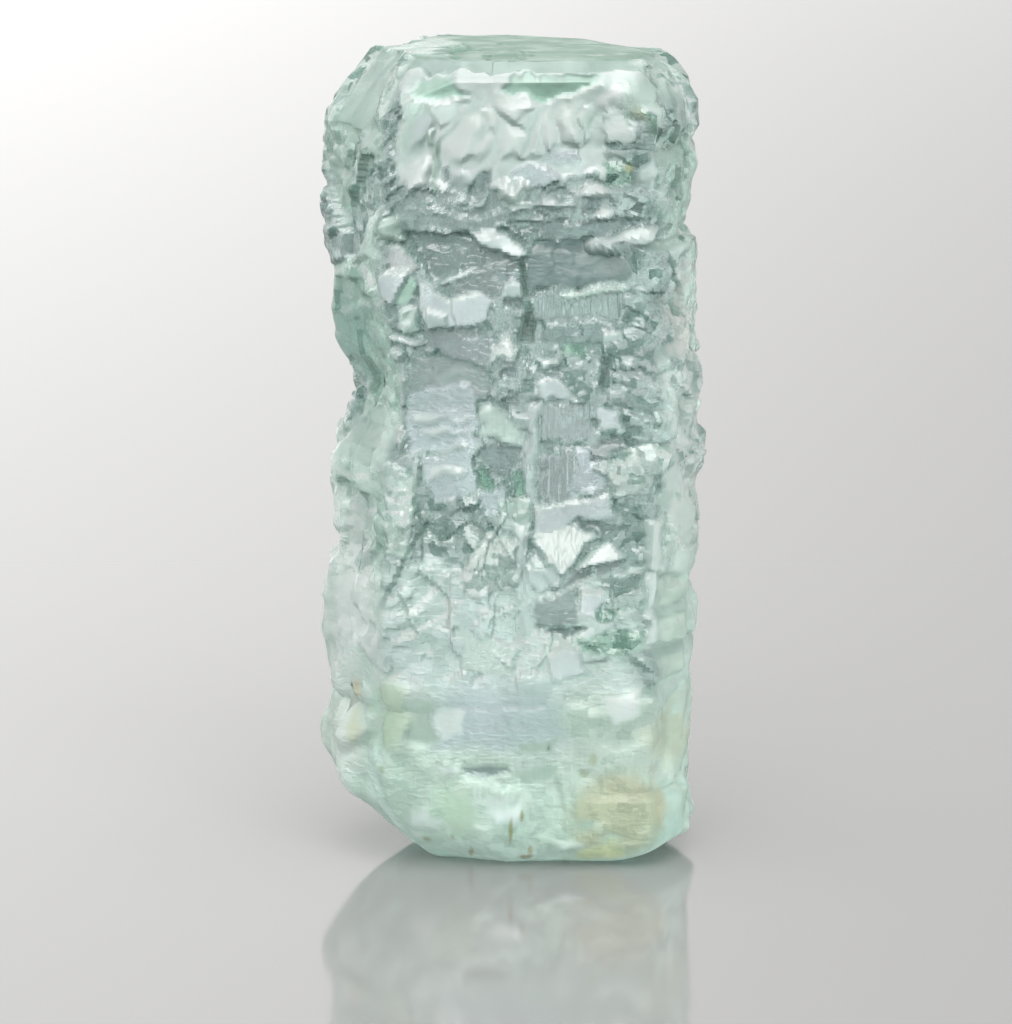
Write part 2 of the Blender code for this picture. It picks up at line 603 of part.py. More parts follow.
def closed_mesh(name, grid):
    """A closed mesh from the grid, with one point in the middle of the base and one on top."""
    rings, columns = grid.shape[:2]
    poles = np.array(((0.0, 0.0, 0.0), (0.0, 0.0, grid[-1, :, 2].mean())))
    points = np.concatenate((grid.reshape(-1, 3), poles)) * MM
    index = np.arange(rings * columns).reshape(rings, columns)
    beside = np.roll(index, -1, axis=1)
    quads = np.stack((index[:-1], beside[:-1], beside[1:], index[1:]), -1).reshape(-1, 4)
    low = rings * columns
    base = np.stack((beside[0], index[0], np.full(columns, low)), -1)
    top = np.stack((index[-1], beside[-1], np.full(columns, low + 1)), -1)
    mesh = bpy.data.meshes.new(name)
    mesh.from_pydata(points.tolist(), [], quads.tolist() + base.tolist() + top.tolist())
    mesh.validate()
    return mesh


def glass_material(name):
    """Pale blue-green beryl."""
    material = bpy.data.materials.new(name)
    material.use_nodes = True
    shader = material.node_tree.nodes["Principled BSDF"]
    shader.inputs["Base Color"].default_value = (0.62, 0.82, 0.76, 1.0)
    shader.inputs["Roughness"].default_value = 0.2
    shader.inputs["Transmission Weight"].default_value = 0.9
    shader.inputs["IOR"].default_value = 1.577
    return material


for old in list(bpy.data.objects):
    bpy.data.objects.remove(old)

grid = crystal_points(COLUMNS, RINGS)
low, high = grid.min(axis=(0, 1)), grid.max(axis=(0, 1))
grid = grid - np.array(((low[0] + high[0]) / 2.0, (low[1] + high[1]) / 2.0, low[2]))
crystal = bpy.data.objects.new("aquamarine_crystal", closed_mesh("aquamarine_crystal", grid))
bpy.context.collection.objects.link(crystal)
crystal.data.materials.append(glass_material("aquamarine"))
thin = crystal.modifiers.new("Fewer faces", "DECIMATE")
thin.ratio = KEPT_SHARE
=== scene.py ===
# %% [markdown]
# # An etched aquamarine crystal
#
# This lesson dresses one natural crystal: a six-sided prism of pale blue-green beryl, clear in its upper
# half and milky at its broken foot. The imported solid gives its place and size. The scene loads it first,
# and later reads its box to place the finished crystal.

# %% Load the imported crystal
import math

import bpy
import numpy as np
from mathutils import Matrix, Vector


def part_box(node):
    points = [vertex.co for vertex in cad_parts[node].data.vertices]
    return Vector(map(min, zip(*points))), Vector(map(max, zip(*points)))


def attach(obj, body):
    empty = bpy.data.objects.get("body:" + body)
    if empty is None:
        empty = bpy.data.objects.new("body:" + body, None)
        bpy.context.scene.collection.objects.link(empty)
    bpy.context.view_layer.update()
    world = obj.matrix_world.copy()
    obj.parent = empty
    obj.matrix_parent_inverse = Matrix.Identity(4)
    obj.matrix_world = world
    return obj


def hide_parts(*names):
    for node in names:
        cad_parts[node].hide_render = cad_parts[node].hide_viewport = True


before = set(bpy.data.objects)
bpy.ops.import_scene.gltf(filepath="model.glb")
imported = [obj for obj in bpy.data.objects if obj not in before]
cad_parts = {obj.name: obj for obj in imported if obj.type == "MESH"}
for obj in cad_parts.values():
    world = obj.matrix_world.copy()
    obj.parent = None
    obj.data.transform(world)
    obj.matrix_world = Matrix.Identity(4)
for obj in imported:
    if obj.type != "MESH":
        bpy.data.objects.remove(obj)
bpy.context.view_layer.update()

# %% [markdown]
# ## The prism in numbers
#
# Beryl grows as a hexagonal prism. A real one is never regular: each of the six faces stands at
# its own distance from the axis, and narrow second-order faces cut the side edges. Lengths here
# are in millimetres, as a collector would measure them, and become metres in the mesh.

# %% Prism faces
MM = 0.001
HEIGHT = 58.0
GIRTH = 79.2
PRISM_FACES = (
    ("front", -90.0, 11.0),
    ("front_right", -30.0, 14.73),
    ("right", 0.0, 13.85),
    ("back_right", 30.0, 13.6),
    ("back", 90.0, 11.0),
    ("back_left", 150.0, 12.4),
    ("left", 180.0, 13.6),
    ("front_left", 210.0, 13.21),
)
EDGE_SHARPNESS = 34.0
print(len(PRISM_FACES), "faces,", HEIGHT, "mm tall,", GIRTH, "mm round")

# %% [markdown]
# ## Worn shoulder and broken foot
#
# The top edge is worn round, with a clean bevel along the front, and the foot is broken away
# more on one side than the other. Both are cuts into the plain prism whose depth, height and
# roundness change with the direction, so each is a short table that is read between its rows.

# %% Cuts at the shoulder and the foot: direction, depth in, height, roundness
SHOULDER = (
    (-180.0, 4.0, 4.9, 1.2),
    (-140.0, 4.2, 5.2, 1.2),
    (-122.0, 2.2, 2.6, 1.0),
    (-108.0, 1.25, 1.35, 1.0),
    (-60.0, 1.25, 1.35, 1.0),
    (-42.0, 3.2, 3.6, 1.7),
    (-20.0, 5.2, 5.6, 2.2),
    (20.0, 6.2, 6.2, 2.1),
    (48.0, 6.4, 6.0, 2.0),
    (62.0, 4.4, 4.2, 1.7),
    (90.0, 1.3, 1.5, 1.1),
    (115.0, 2.4, 2.6, 1.2),
    (135.0, 4.6, 5.4, 1.3),
    (180.0, 4.0, 4.9, 1.2),
)
FOOT = (
    (-180.0, 7.2, 7.8, 1.3),
    (-140.0, 6.4, 6.2, 1.35),
    (-90.0, 3.4, 2.6, 1.5),
    (-50.0, 4.4, 1.9, 1.6),
    (-20.0, 6.2, 2.0, 1.6),
    (30.0, 6.6, 3.0, 1.5),
    (60.0, 5.0, 3.2, 1.5),
    (90.0, 3.2, 3.4, 1.3),
    (140.0, 6.4, 6.4, 1.3),
    (180.0, 7.2, 7.8, 1.3),
)
print(len(SHOULDER), "directions at the shoulder,", len(FOOT), "at the foot")

# %% [markdown]
# ## Flanks and lumps
#
# Seen from the front, the two sides carry notches, steps and bulges where the etching went
# deeper. Each could be cut in one by one, but a short list of heights and half-widths, read
# straight between its rows, gives a whole side at once. Three lumps grew on the sides. Each is
# an ellipsoid, and the side is pushed out to it where it stands further out.

# %% Height and half-width of the two flanks; lumps: middle, half-sizes
LEFT_WIDTH = 13.95
LEFT_FLANK = (
    (0.0, 13.4), (8.2, 13.5), (9.3, 13.24), (11.0, 12.87), (11.5, 12.58), (12.2, 13.26),
    (17.0, 13.56), (18.5, 13.52), (19.9, 13.11), (22.9, 12.67), (27.2, 12.72), (28.7, 13.0),
    (30.15, 12.56), (31.6, 11.69), (33.1, 11.25), (34.5, 11.18), (36.0, 11.46), (37.4, 12.09),
    (40.3, 12.8), (46.0, 13.48), (51.0, 13.24), (58.0, 13.2),
)
RIGHT_WIDTH = 14.15
RIGHT_FLANK = (
    (0.0, 13.7), (5.0, 13.6), (5.55, 13.12), (6.4, 13.23), (11.5, 13.7), (15.2, 13.79),
    (16.24, 13.39), (16.6, 13.93), (18.2, 13.96), (18.95, 13.45), (20.85, 13.8), (25.15, 13.99),
    (26.5, 13.73), (28.1, 14.26), (30.3, 14.39), (30.8, 13.82), (36.6, 13.64), (37.8, 13.24),
    (43.0, 13.61), (44.6, 13.39), (45.2, 12.78), (46.4, 13.38), (50.3, 13.78), (51.9, 13.21),
    (53.0, 13.77), (58.0, 13.7),
)
LUMPS = (
    ("pale_lump_left", (-10.0, -4.6, 8.0), (2.7, 3.6, 3.7)),
    ("clear_lump_right", (10.6, -4.2, 3.9), (2.6, 3.0, 2.4)),
    ("small_lump_right", (11.1, -2.6, 29.4), (2.7, 3.4, 2.0)),
)
print(len(LEFT_FLANK), "rows left,", len(RIGHT_FLANK), "rows right,", len(LUMPS), "lumps")

# %% [markdown]
# ## Looks of etched beryl
#
# Etching leaves a beryl face as a patchwork: clean windows that look grey or lavender through the clear
# crystal, frosted white plates, crowds of little chips, and patches with fine vertical striae or stippled
# pits. A material for each patch would need dozens of them. It is simpler to keep one material and a row of
# numbers per look: how the surface tints light, how frosted it is, and how much chipping, stipple and
# striation it carries. Some tints are painted light and shade. The grey and dark windows carry painted shade
# for the darker surroundings that they show. The shadow looks and the cleft carry painted shadow. The pure
# white bright look is a painted highlight. The white plate and white soft looks are partly frost and partly
# painted highlight.

# %% Looks: red, green, blue, frost, chips, stipple, striae
LOOKS = {
    "white_plate": (0.84, 0.9, 0.91, 0.34, 0.0, 0.1, 0.0),
    "white_soft": (0.97, 1.0, 1.0, 0.34, 0.0, 0.0, 0.1),
    "white_clump": (0.94, 0.95, 0.95, 0.24, 0.9, 0.2, 0.0),
    "white_striated": (0.88, 0.94, 0.95, 0.3, 0.05, 0.0, 0.7),
    # painted highlight: plain white for facets that face the light
    "bright_soft": (1.0, 1.0, 1.0, 0.34, 0.0, 0.1, 0.0),
    "shadow_soft": (0.50, 0.58, 0.57, 0.30, 0.0, 0.0, 0.1),
    "mint_shadow": (0.50, 0.63, 0.55, 0.30, 0.1, 0.1, 0.1),
    "satin": (0.92, 0.98, 0.97, 0.36, 0.1, 0.1, 0.0),
    "bevel": (0.47, 0.6, 0.55, 0.52, 0.0, 0.1, 0.0),
    "lavender_plate": (0.92, 0.94, 1.0, 0.28, 0.0, 0.2, 0.1),
    "lavender_soft": (0.74, 0.8, 0.82, 0.3, 0.0, 0.0, 0.1),
    "lavender_window": (0.64, 0.69, 0.74, 0.2, 0.0, 0.2, 0.1),
    "lavender_stipple": (0.7, 0.75, 0.82, 0.26, 0.15, 1.0, 0.1),
    "warm_lavender": (0.80, 0.78, 0.80, 0.20, 0.0, 0.1, 0.1),
    "milk_lavender": (0.6, 0.7, 0.73, 0.4, 0.35, 0.6, 0.1),
    # painted shade: grey_window, grey_stipple, dark_window and dark_stipple are darkened for the
    # surroundings that a window shows
    "grey_window": (0.3, 0.36, 0.37, 0.16, 0.0, 0.2, 0.1),
    "grey_stipple": (0.32, 0.38, 0.38, 0.28, 0.15, 0.5, 0.0),
    "grey_clump": (0.46, 0.53, 0.52, 0.18, 0.9, 0.3, 0.2),
    "dark_window": (0.21, 0.27, 0.27, 0.18, 0.0, 0.2, 0.1),
    "dark_stipple": (0.13, 0.19, 0.19, 0.4, 0.1, 0.15, 0.0),
    # painted shade in the deep clefts
    "cleft": (0.16, 0.22, 0.20, 0.10, 0.2, 0.2, 0.3),
    "dark_green": (0.20, 0.38, 0.30, 0.08, 0.3, 0.2, 0.6),
    "green_clump": (0.36, 0.54, 0.45, 0.10, 1.0, 0.2, 0.2),
    "green_glass": (0.54, 0.8, 0.67, 0.34, 0.0, 0.1, 0.0),
    "pale_mint": (0.7, 0.84, 0.77, 0.3, 0.0, 0.1, 0.1),
    "mint_plate": (0.80, 0.96, 0.87, 0.22, 0.0, 0.1, 0.1),
    "low_milk": (0.88, 0.99, 0.97, 0.32, 0.55, 0.8, 0.2),
    "mid_texture": (0.34, 0.41, 0.42, 0.24, 0.6, 0.6, 0.2),
    "foot_milk": (0.71, 0.81, 0.72, 0.42, 0.9, 0.5, 0.2),
    "olive_soft": (0.58, 0.7, 0.56, 0.44, 0.3, 0.1, 0.0),
    "calm_back": (0.96, 1.0, 0.98, 0.28, 0.6, 0.1, 0.2),
    "crust": (0.9, 0.99, 0.94, 0.26, 1.15, 0.3, 0.0),
    "mint_stipple": (0.8, 0.93, 0.87, 0.24, 0.3, 0.8, 0.2),
    "mint_clump": (0.84, 0.98, 0.92, 0.26, 0.6, 0.1, 0.1),
    "mint_milk": (0.8, 0.89, 0.81, 0.44, 0.5, 0.2, 0.1),
    "green_craggy": (0.56, 0.76, 0.66, 0.22, 0.6, 0.2, 0.2),
    "clump": (0.5, 0.57, 0.57, 0.2, 0.95, 0.2, 0.1),
    "ledge": (0.36, 0.43, 0.42, 0.24, 0.35, 0.1, 0.1),
    "striated_window": (0.44, 0.5, 0.51, 0.18, 0.0, 0.1, 1.0),
    "top_glass": (0.29, 0.48, 0.37, 0.36, 0.0, 0.1, 0.0),
    "top_crust": (0.48, 0.6, 0.53, 0.4, 0.3, 0.3, 0.0),
}
print(len(LOOKS), "looks")

# %% [markdown]
# ## Where the camera stands
#
# One camera looks at the front face from a little above, through a long lens that keeps the
# sides nearly parallel. Its numbers are set here, before anything is marked on the face, because
# a maker who places marks on a face judges them in the camera's picture.

# %% Camera distance, tilt, aim, lens and picture
CAMERA_DISTANCE = 450.0
CAMERA_TILT = math.radians(10.0)
AIM_HEIGHT = 24.2
LENS = 218.0
SENSOR = 36.0
PICTURE = (1012, 1024)
POINTS_PER_SLOPE = PICTURE[1] * LENS / SENSOR
EYE_Y = -CAMERA_DISTANCE * math.cos(CAMERA_TILT)
EYE_Z = AIM_HEIGHT + CAMERA_DISTANCE * math.sin(CAMERA_TILT)
print("the eye is", round(-EYE_Y), "mm in front and", round(EYE_Z), "mm up")

# %% [markdown]
# ## Plates, windows and pits
#
# Each etched plate is a convex outline on the face, a level above or below it, and how it leans: the lean
# decides what a window shows, just as on a real crystal that is turned in the hand, and the tint of its look
# adds painted light and shade. The rows are laid one over another like cut paper, large ones first.
#
# The corners are marked in the picture, in points across and down: on the whole of it, or on a sheet that
# shows one part enlarged. A short function follows the line of sight through each mark to the face and gives
# millimetres there, so nothing has to be measured twice.

# %% From a mark on a sheet to the front face
SHEETS = {
    "whole": (0, 0, 1.0),
    "shoulder": (370, 60, 5.058),
    "upper": (370, 220, 5.058),
    "middle": (370, 380, 5.058),
    "lower": (370, 520, 4.7515),
    "foot": (310, 680, 4.0205),
}
FRONT_PLANE = -PRISM_FACES[0][2]


def on_the_front(sheet, marks):
    """Marks on a sheet as corners (x, z) on the front face, to a tenth of a millimetre.

    A sheet is where its corner lies in the picture and how many times it is enlarged. The line
    from the eye through a mark is followed until it meets the plane of the face.
    """
    left, top, enlarged = SHEETS[sheet]
    corners = []
    for mark_x, mark_y in marks:
        across = (left + mark_x / enlarged - PICTURE[0] / 2) / POINTS_PER_SLOPE
        climb = (PICTURE[1] / 2 - top - mark_y / enlarged) / POINTS_PER_SLOPE
        reach = (FRONT_PLANE - EYE_Y) / (math.cos(CAMERA_TILT) + climb * math.sin(CAMERA_TILT))
        rise = climb * math.cos(CAMERA_TILT) - math.sin(CAMERA_TILT)
        corners.append((round(reach * across, 1), round(EYE_Z + reach * rise, 1)))
    return tuple(corners)


print("the picture's middle meets the face at", on_the_front("whole", ((506, 512),))[0], "mm")

# %% [markdown]
# ## Plates of the shoulder
#
# Under the front edge of the top the face is broken into soft bright hills with dark clefts between them,
# above a field of small ledges. The hills could be sculpted. Instead they are plates that lean different
# ways: bright ones lean up and carry a painted highlight, and dark ones lean back and carry a painted
# shadow. Each keeps its place and can be changed by one row.

# %% Shoulder plates: name, look, level, lean across, lean up, sheet, corners
SHOULDER_PLATES = (
    ("hillside", "satin", 0.4, 0, 0.1, "whole",
     ((396, 188), (400, 82), (412, 75), (656, 74), (655, 186))),
    ("ledge_field", "ledge", 0, 0, -0.1, "shoulder",
     ((90, 690), (640, 640), (1430, 600), (1440, 905), (110, 905))),
    ("lens_left", "green_glass", 0.3, 0, 0.2, "whole",
     ((414, 84), (430, 78), (456, 80), (470, 93), (440, 101), (412, 100))),
    ("right_hill", "clump", 0.3, 0, 0.05, "whole",
     ((600, 114), (648, 106), (655, 152), (642, 180), (606, 168))),
    ("hill_mint", "pale_mint", 0.43, 0.1, 0.1, "whole",
     ((401, 99), (440, 99), (433, 122), (424, 152), (402, 156))),
    ("hill_west", "lavender_soft", 0.53, 0.25, -0.1, "whole",
     ((409, 122), (427, 100), (438, 118), (431, 140), (411, 152))),
    ("slope_west", "satin", 0.55, -0.2, 0.05, "whole",
     ((428, 101), (470, 100), (456, 121), (440, 130), (436, 118))),
    ("hill_mid", "white_soft", 0.61, 0.25, -0.1, "whole",
     ((440, 152), (456, 126), (471, 112), (479, 109), (484, 126), (479, 152), (466, 166), (446, 164))),
    ("shadow_mid", "shadow_soft", 0.46, -0.3, 0.2, "whole",
     ((456, 121), (462, 123), (441, 148), (434, 153), (432, 146))),
    ("olive_column", "mint_shadow", 0.34, -0.2, 0.2, "whole",
     ((431, 132), (437, 130), (439, 165), (436, 197), (430, 195), (430, 160))),
    ("bright_left", "bright_soft", 0.61, 0.2, -0.4, "whole",
     ((402, 182), (411, 165), (426, 148), (431, 160), (428, 184), (414, 192), (403, 192))),
    ("hill_east", "bright_soft", 0.68, -0.15, -0.1, "whole",
     ((480, 108), (491, 104), (501, 120), (500, 140), (488, 132))),
    ("hill_east_low", "white_soft", 0.57, -0.3, 0.05, "whole",
     ((484, 132), (500, 141), (497, 158), (482, 160), (478, 150))),
    ("crack_east", "shadow_soft", 0.39, -0.3, 0.3, "whole",
     ((486, 129), (490, 132), (484, 144), (480, 141))),
    ("hill_centre", "white_soft", 0.64, 0.15, -0.05, "whole",
     ((500, 142), (501, 122), (512, 126), (521, 134), (524, 158), (503, 160))),
    ("gable", "bright_soft", 0.75, 0.1, -0.15, "whole",
     ((490, 100), (500, 96), (528, 100), (533, 104), (514, 123), (508, 120))),
    ("gable_right", "satin", 0.57, -0.3, 0.1, "whole",
     ((515, 123), (533, 104), (538, 112), (528, 128), (520, 133))),
    ("rise_a", "white_soft", 0.66, 0.3, -0.1, "whole",
     ((524, 157), (530, 128), (540, 106), (541, 120), (537, 152))),
    ("rise_b", "bright_soft", 0.73, -0.1, -0.1, "whole",
     ((541, 119), (549, 107), (557, 126), (559, 142), (546, 152), (540, 150))),
    ("rise_line", "shadow_soft", 0.43, -0.3, 0.2, "whole",
     ((524, 128), (528, 128), (543, 106), (540, 104))),
    ("white_face", "bright_soft", 0.77, 0.1, -0.2, "whole",
     ((557, 106), (580, 102), (579, 118), (574, 146), (562, 143))),
    ("white_side", "satin", 0.61, -0.3, 0.05, "whole",
     ((580, 102), (592, 110), (587, 124), (584, 142), (575, 146), (579, 118))),
    ("olive_nick", "mint_shadow", 0.34, -0.3, 0.2, "whole",
     ((590, 113), (596, 116), (592, 126), (586, 130), (587, 121))),
    ("grey_nick", "shadow_soft", 0.34, -0.3, 0.2, "whole",
     ((585, 130), (589, 131), (587, 141), (583, 140))),
    ("bright_east", "bright_soft", 0.68, 0.1, -0.2, "whole",
     ((596, 90), (612, 88), (618, 100), (608, 113), (598, 108))),
    ("mint_corner", "pale_mint", 0.53, -0.2, 0, "whole",
     ((614, 86), (656, 84), (656, 112), (632, 116), (616, 110))),
    ("east_slope", "satin", 0.55, 0.1, -0.1, "whole",
     ((600, 116), (622, 112), (636, 128), (632, 140), (603, 140))),
    ("olive_shade", "mint_shadow", 0.39, -0.1, 0.1, "whole",
     ((622, 110), (630, 110), (634, 120), (626, 124))),
    ("olive_east", "green_clump", 0.34, -0.2, 0.1, "whole",
     ((641, 113), (648, 114), (654, 138), (646, 140), (640, 128))),
    ("dark_mark_a", "dark_window", -0.1, 0, 0.2, "whole",
     ((600, 143), (604, 140), (620, 137), (619, 142), (606, 147))),
    ("white_below", "bright_soft", 0.57, 0, -0.3, "whole",
     ((604, 148), (634, 146), (637, 156), (606, 154))),
    ("smooth_lavender", "lavender_window", 0.2, 0, 0.05, "whole",
     ((540, 151), (577, 150), (580, 163), (558, 167), (540, 160))),
    ("fan", "lavender_window", 0.35, 0.1, -0.12, "whole",
     ((506, 176), (530, 161), (548, 164), (562, 180), (541, 193))),
    ("fan_shadow", "shadow_soft", 0.15, -0.2, 0.2, "whole",
     ((528, 183), (534, 183), (545, 194), (541, 196))),
    ("fan_right", "grey_window", 0.2, 0.2, 0.1, "whole",
     ((541, 195), (552, 186), (566, 184), (566, 190), (548, 197))),
    ("west_blotch", "grey_window", 0.1, -0.1, 0.2, "whole",
     ((440, 165), (449, 164), (452, 181), (443, 183))),
    ("west_low", "shadow_soft", 0.2, 0.1, 0.1, "whole",
     ((450, 172), (466, 168), (470, 186), (462, 200), (446, 196))),
    ("dark_patch", "dark_window", -0.3, 0, 0.25, "whole",
     ((467, 193), (472, 180), (482, 170), (491, 168), (492, 182), (480, 194), (468, 197))),
    ("dark_east", "grey_clump", 0, 0, 0.2, "whole", ((560, 176), (598, 173), (602, 186), (568, 185))),
    ("olive_rough", "green_clump", 0, 0, 0.2, "whole", ((598, 160), (630, 158), (636, 180), (606, 188))),
    ("white_tab", "bright_soft", 0.6, 0.1, -0.2, "whole",
     ((500, 183), (521, 181), (533, 190), (520, 198), (500, 198))),
    ("ledge_west", "grey_clump", 0.1, 0, 0.1, "whole", ((402, 200), (470, 200), (470, 216), (402, 216))),
    ("slab", "satin", 0.5, 0, -0.3, "whole",
     ((508, 204), (540, 200), (582, 203), (560, 208), (514, 210))),
    ("dark_under", "dark_window", -0.1, 0, 0.25, "whole",
     ((566, 190), (578, 192), (604, 201), (594, 206), (578, 200))),
    ("flake_a", "bright_soft", 0.7, 0, -0.3, "whole",
     ((566, 188), (600, 186), (616, 190), (604, 199), (584, 196))),
    ("dark_block", "dark_window", -0.2, 0, 0.3, "whole",
     ((580, 201), (600, 203), (598, 214), (584, 214))),
    ("flake_b", "white_plate", 0.5, 0.1, -0.3, "whole", ((588, 216), (600, 207), (616, 208), (608, 219))),
    ("lens_right", "green_glass", 0.3, 0, 0.2, "whole",
     ((502, 86), (520, 78), (606, 77), (578, 93), (540, 102), (512, 93))),
    ("ledge_lens", "dark_window", -0.1, 0, -0.2, "shoulder",
     ((720, 772), (860, 718), (1015, 770), (860, 800))),
    ("ledge_rim", "white_plate", 0.45, 0, -0.5, "shoulder",
     ((715, 786), (860, 798), (1015, 780), (940, 816), (810, 818))),
    ("dark_mark_b", "dark_window", -0.1, 0, -0.2, "shoulder", ((1055, 690), (1200, 722), (1100, 765))),
    ("ledge_clump", "clump", 0.2, 0, 0, "shoulder", ((1205, 640), (1460, 640), (1400, 800), (1235, 782))),
    ("mint_flake", "white_plate", 0.5, 0.2, 0.3, "shoulder", ((470, 765), (595, 688), (570, 745))),
    ("pale_plate", "pale_mint", 0.45, 0.25, 0.1, "shoulder",
     ((0, 790), (120, 790), (170, 905), (0, 905))),
)
print(len(SHOULDER_PLATES), "shoulder plates")

# %% [markdown]
# ## Plates of the upper windows
#
# Below the ledges, large clean windows look grey and lavender. Their grey is a painted shade in the tint,
# standing for the darker surroundings seen through the crystal. Frosted plates frame them and clefts split
# them. A window is a plate that keeps almost none of the relief under it, so it stays calm and clear, and
# its lean picks what it shows.

# %% Upper plates: the same columns
UPPER_PLATES = (
    ("upper_band", "dark_window", -0.05, 0, -0.22, "upper",
     ((620, 0), (1440, 0), (1400, 60), (1080, 125), (820, 112))),
    ("window_left", "dark_window", -0.1, 0.05, -0.24, "upper",
     ((150, 60), (500, 60), (770, 200), (770, 310), (600, 380), (420, 372), (320, 300))),
    ("window_right", "dark_stipple", -0.1, -0.05, -0.2, "upper",
     ((785, 140), (1100, 100), (1310, 180), (1310, 320), (800, 352))),
    ("streak", "dark_window", -0.25, 0, -0.3, "upper", ((640, 25), (700, 20), (830, 142), (760, 142))),
    ("streak_rim", "white_plate", 0.4, 0, -0.45, "upper", ((630, 0), (680, 0), (795, 88), (740, 70))),
    ("flake_left", "white_plate", 0.7, -0.15, -0.42, "upper",
     ((500, 55), (640, 48), (830, 165), (745, 200), (560, 122))),
    ("flake_right", "white_plate", 0.7, 0.15, -0.42, "upper",
     ((1070, 132), (1290, 50), (1480, 40), (1460, 88), (1200, 180), (1110, 166))),
    ("wave_rim", "white_plate", 0.35, 0, -0.45, "upper",
     ((340, 305), (500, 248), (545, 262), (420, 312), (370, 320))),
    ("apron_top", "warm_lavender", 0.3, 0.2, 0.1, "upper",
     ((92, 112), (155, 115), (255, 245), (190, 292), (88, 266))),
    ("apron_main", "lavender_plate", 0.7, -0.12, 0.12, "upper",
     ((240, 262), (330, 325), (500, 420), (500, 552), (300, 555), (256, 450))),
    ("apron_right", "lavender_plate", 0.6, -0.2, 0, "upper",
     ((420, 378), (640, 372), (585, 512), (500, 552), (440, 552))),
    ("apron_left", "lavender_plate", 0.65, 0.15, 0.1, "upper",
     ((88, 262), (200, 260), (125, 445), (40, 425), (18, 380))),
    ("apron_green", "green_glass", 0.35, 0.3, 0, "upper",
     ((188, 288), (242, 325), (205, 445), (110, 442))),
    ("apron_tab", "white_plate", 0.8, 0, 0.35, "upper", ((290, 440), (405, 480), (390, 555), (300, 556))),
    ("apron_step", "mint_clump", 0.3, 0, 0, "upper", ((150, 450), (258, 450), (270, 590), (180, 590))),
    ("white_block", "white_plate", 0.45, 0, 0.3, "upper",
     ((658, 372), (680, 315), (772, 310), (772, 382))),
    ("grey_block", "dark_window", -0.1, 0, -0.2, "upper",
     ((665, 386), (772, 386), (765, 452), (680, 442))),
    ("cleft_top", "cleft", -0.8, 0.3, 0, "upper", ((752, 200), (778, 200), (805, 392), (765, 392))),
    ("cleft_low", "cleft", -0.8, 0.2, 0, "upper",
     ((765, 495), (790, 458), (822, 470), (848, 622), (754, 632))),
    ("fine_field", "striated_window", 0.05, 0, 0.05, "upper",
     ((825, 352), (1300, 360), (1295, 520), (900, 530), (830, 470))),
    ("mint_bar", "mint_plate", 0.4, 0, 0.25, "upper",
     ((945, 372), (1130, 332), (1350, 345), (1290, 372), (1150, 388), (950, 402))),
    ("pale_field", "mid_texture", 0.15, 0, 0.15, "upper",
     ((860, 520), (1290, 520), (1290, 640), (1000, 640), (880, 600))),
    ("white_square", "white_plate", 0.4, 0, 0.3, "upper",
     ((1165, 565), (1292, 560), (1275, 622), (1170, 632))),
    ("window_mid", "grey_window", -0.05, 0, -0.22, "upper",
     ((255, 560), (560, 552), (640, 620), (610, 760), (430, 720), (290, 640))),
    ("window_mid_low", "grey_stipple", 0.05, 0, -0.12, "upper",
     ((190, 700), (430, 690), (610, 740), (600, 905), (200, 905))),
    ("block_a", "white_plate", 0.5, 0, 0.25, "upper",
     ((68, 585), (170, 580), (292, 642), (230, 652), (130, 628))),
    ("block_b", "white_plate", 0.55, 0.1, 0.3, "upper", ((50, 652), (172, 665), (172, 728), (80, 712))),
    ("left_column", "warm_lavender", 0.2, 0.1, 0.1, "upper",
     ((75, 722), (175, 736), (178, 905), (60, 905))),
    ("clump_mid", "clump", 0.25, 0, 0, "upper",
     ((580, 690), (760, 630), (900, 600), (1000, 640), (960, 760), (840, 905), (640, 905))),
    ("clump_plate", "white_plate", 0.6, 0, 0.3, "upper",
     ((845, 702), (940, 695), (962, 732), (860, 762))),
    ("clump_window", "grey_window", 0, 0, -0.2, "upper",
     ((850, 770), (970, 740), (1000, 800), (930, 800))),
    ("green_patch", "green_glass", -0.1, 0, 0, "upper",
     ((1000, 620), (1080, 640), (1052, 692), (1000, 682))),
    ("slit", "cleft", -0.7, 0, 0, "upper", ((1162, 702), (1222, 700), (1190, 885), (1165, 832))),
    ("clump_right", "clump", 0.3, 0, 0, "upper",
     ((1220, 660), (1300, 560), (1420, 420), (1450, 520), (1450, 905), (1200, 905))),
    ("round_window", "grey_window", 0, 0, -0.15, "upper",
     ((1375, 385), (1410, 372), (1445, 390), (1440, 440), (1390, 445))),
    ("light_plate", "lavender_plate", 0.4, 0, 0.2, "upper",
     ((840, 822), (940, 790), (1030, 872), (1060, 905), (860, 905))),
)
print(len(UPPER_PLATES), "upper plates")

# %% [markdown]
# ## Plates of the crowded middle
#
# The middle is the most broken part: tall windows with upright striae, thin bright streaks, and
# clumps of fragments between them. It needs no new method. Small plates are laid over large
# ones until the face is as crowded as the real one.

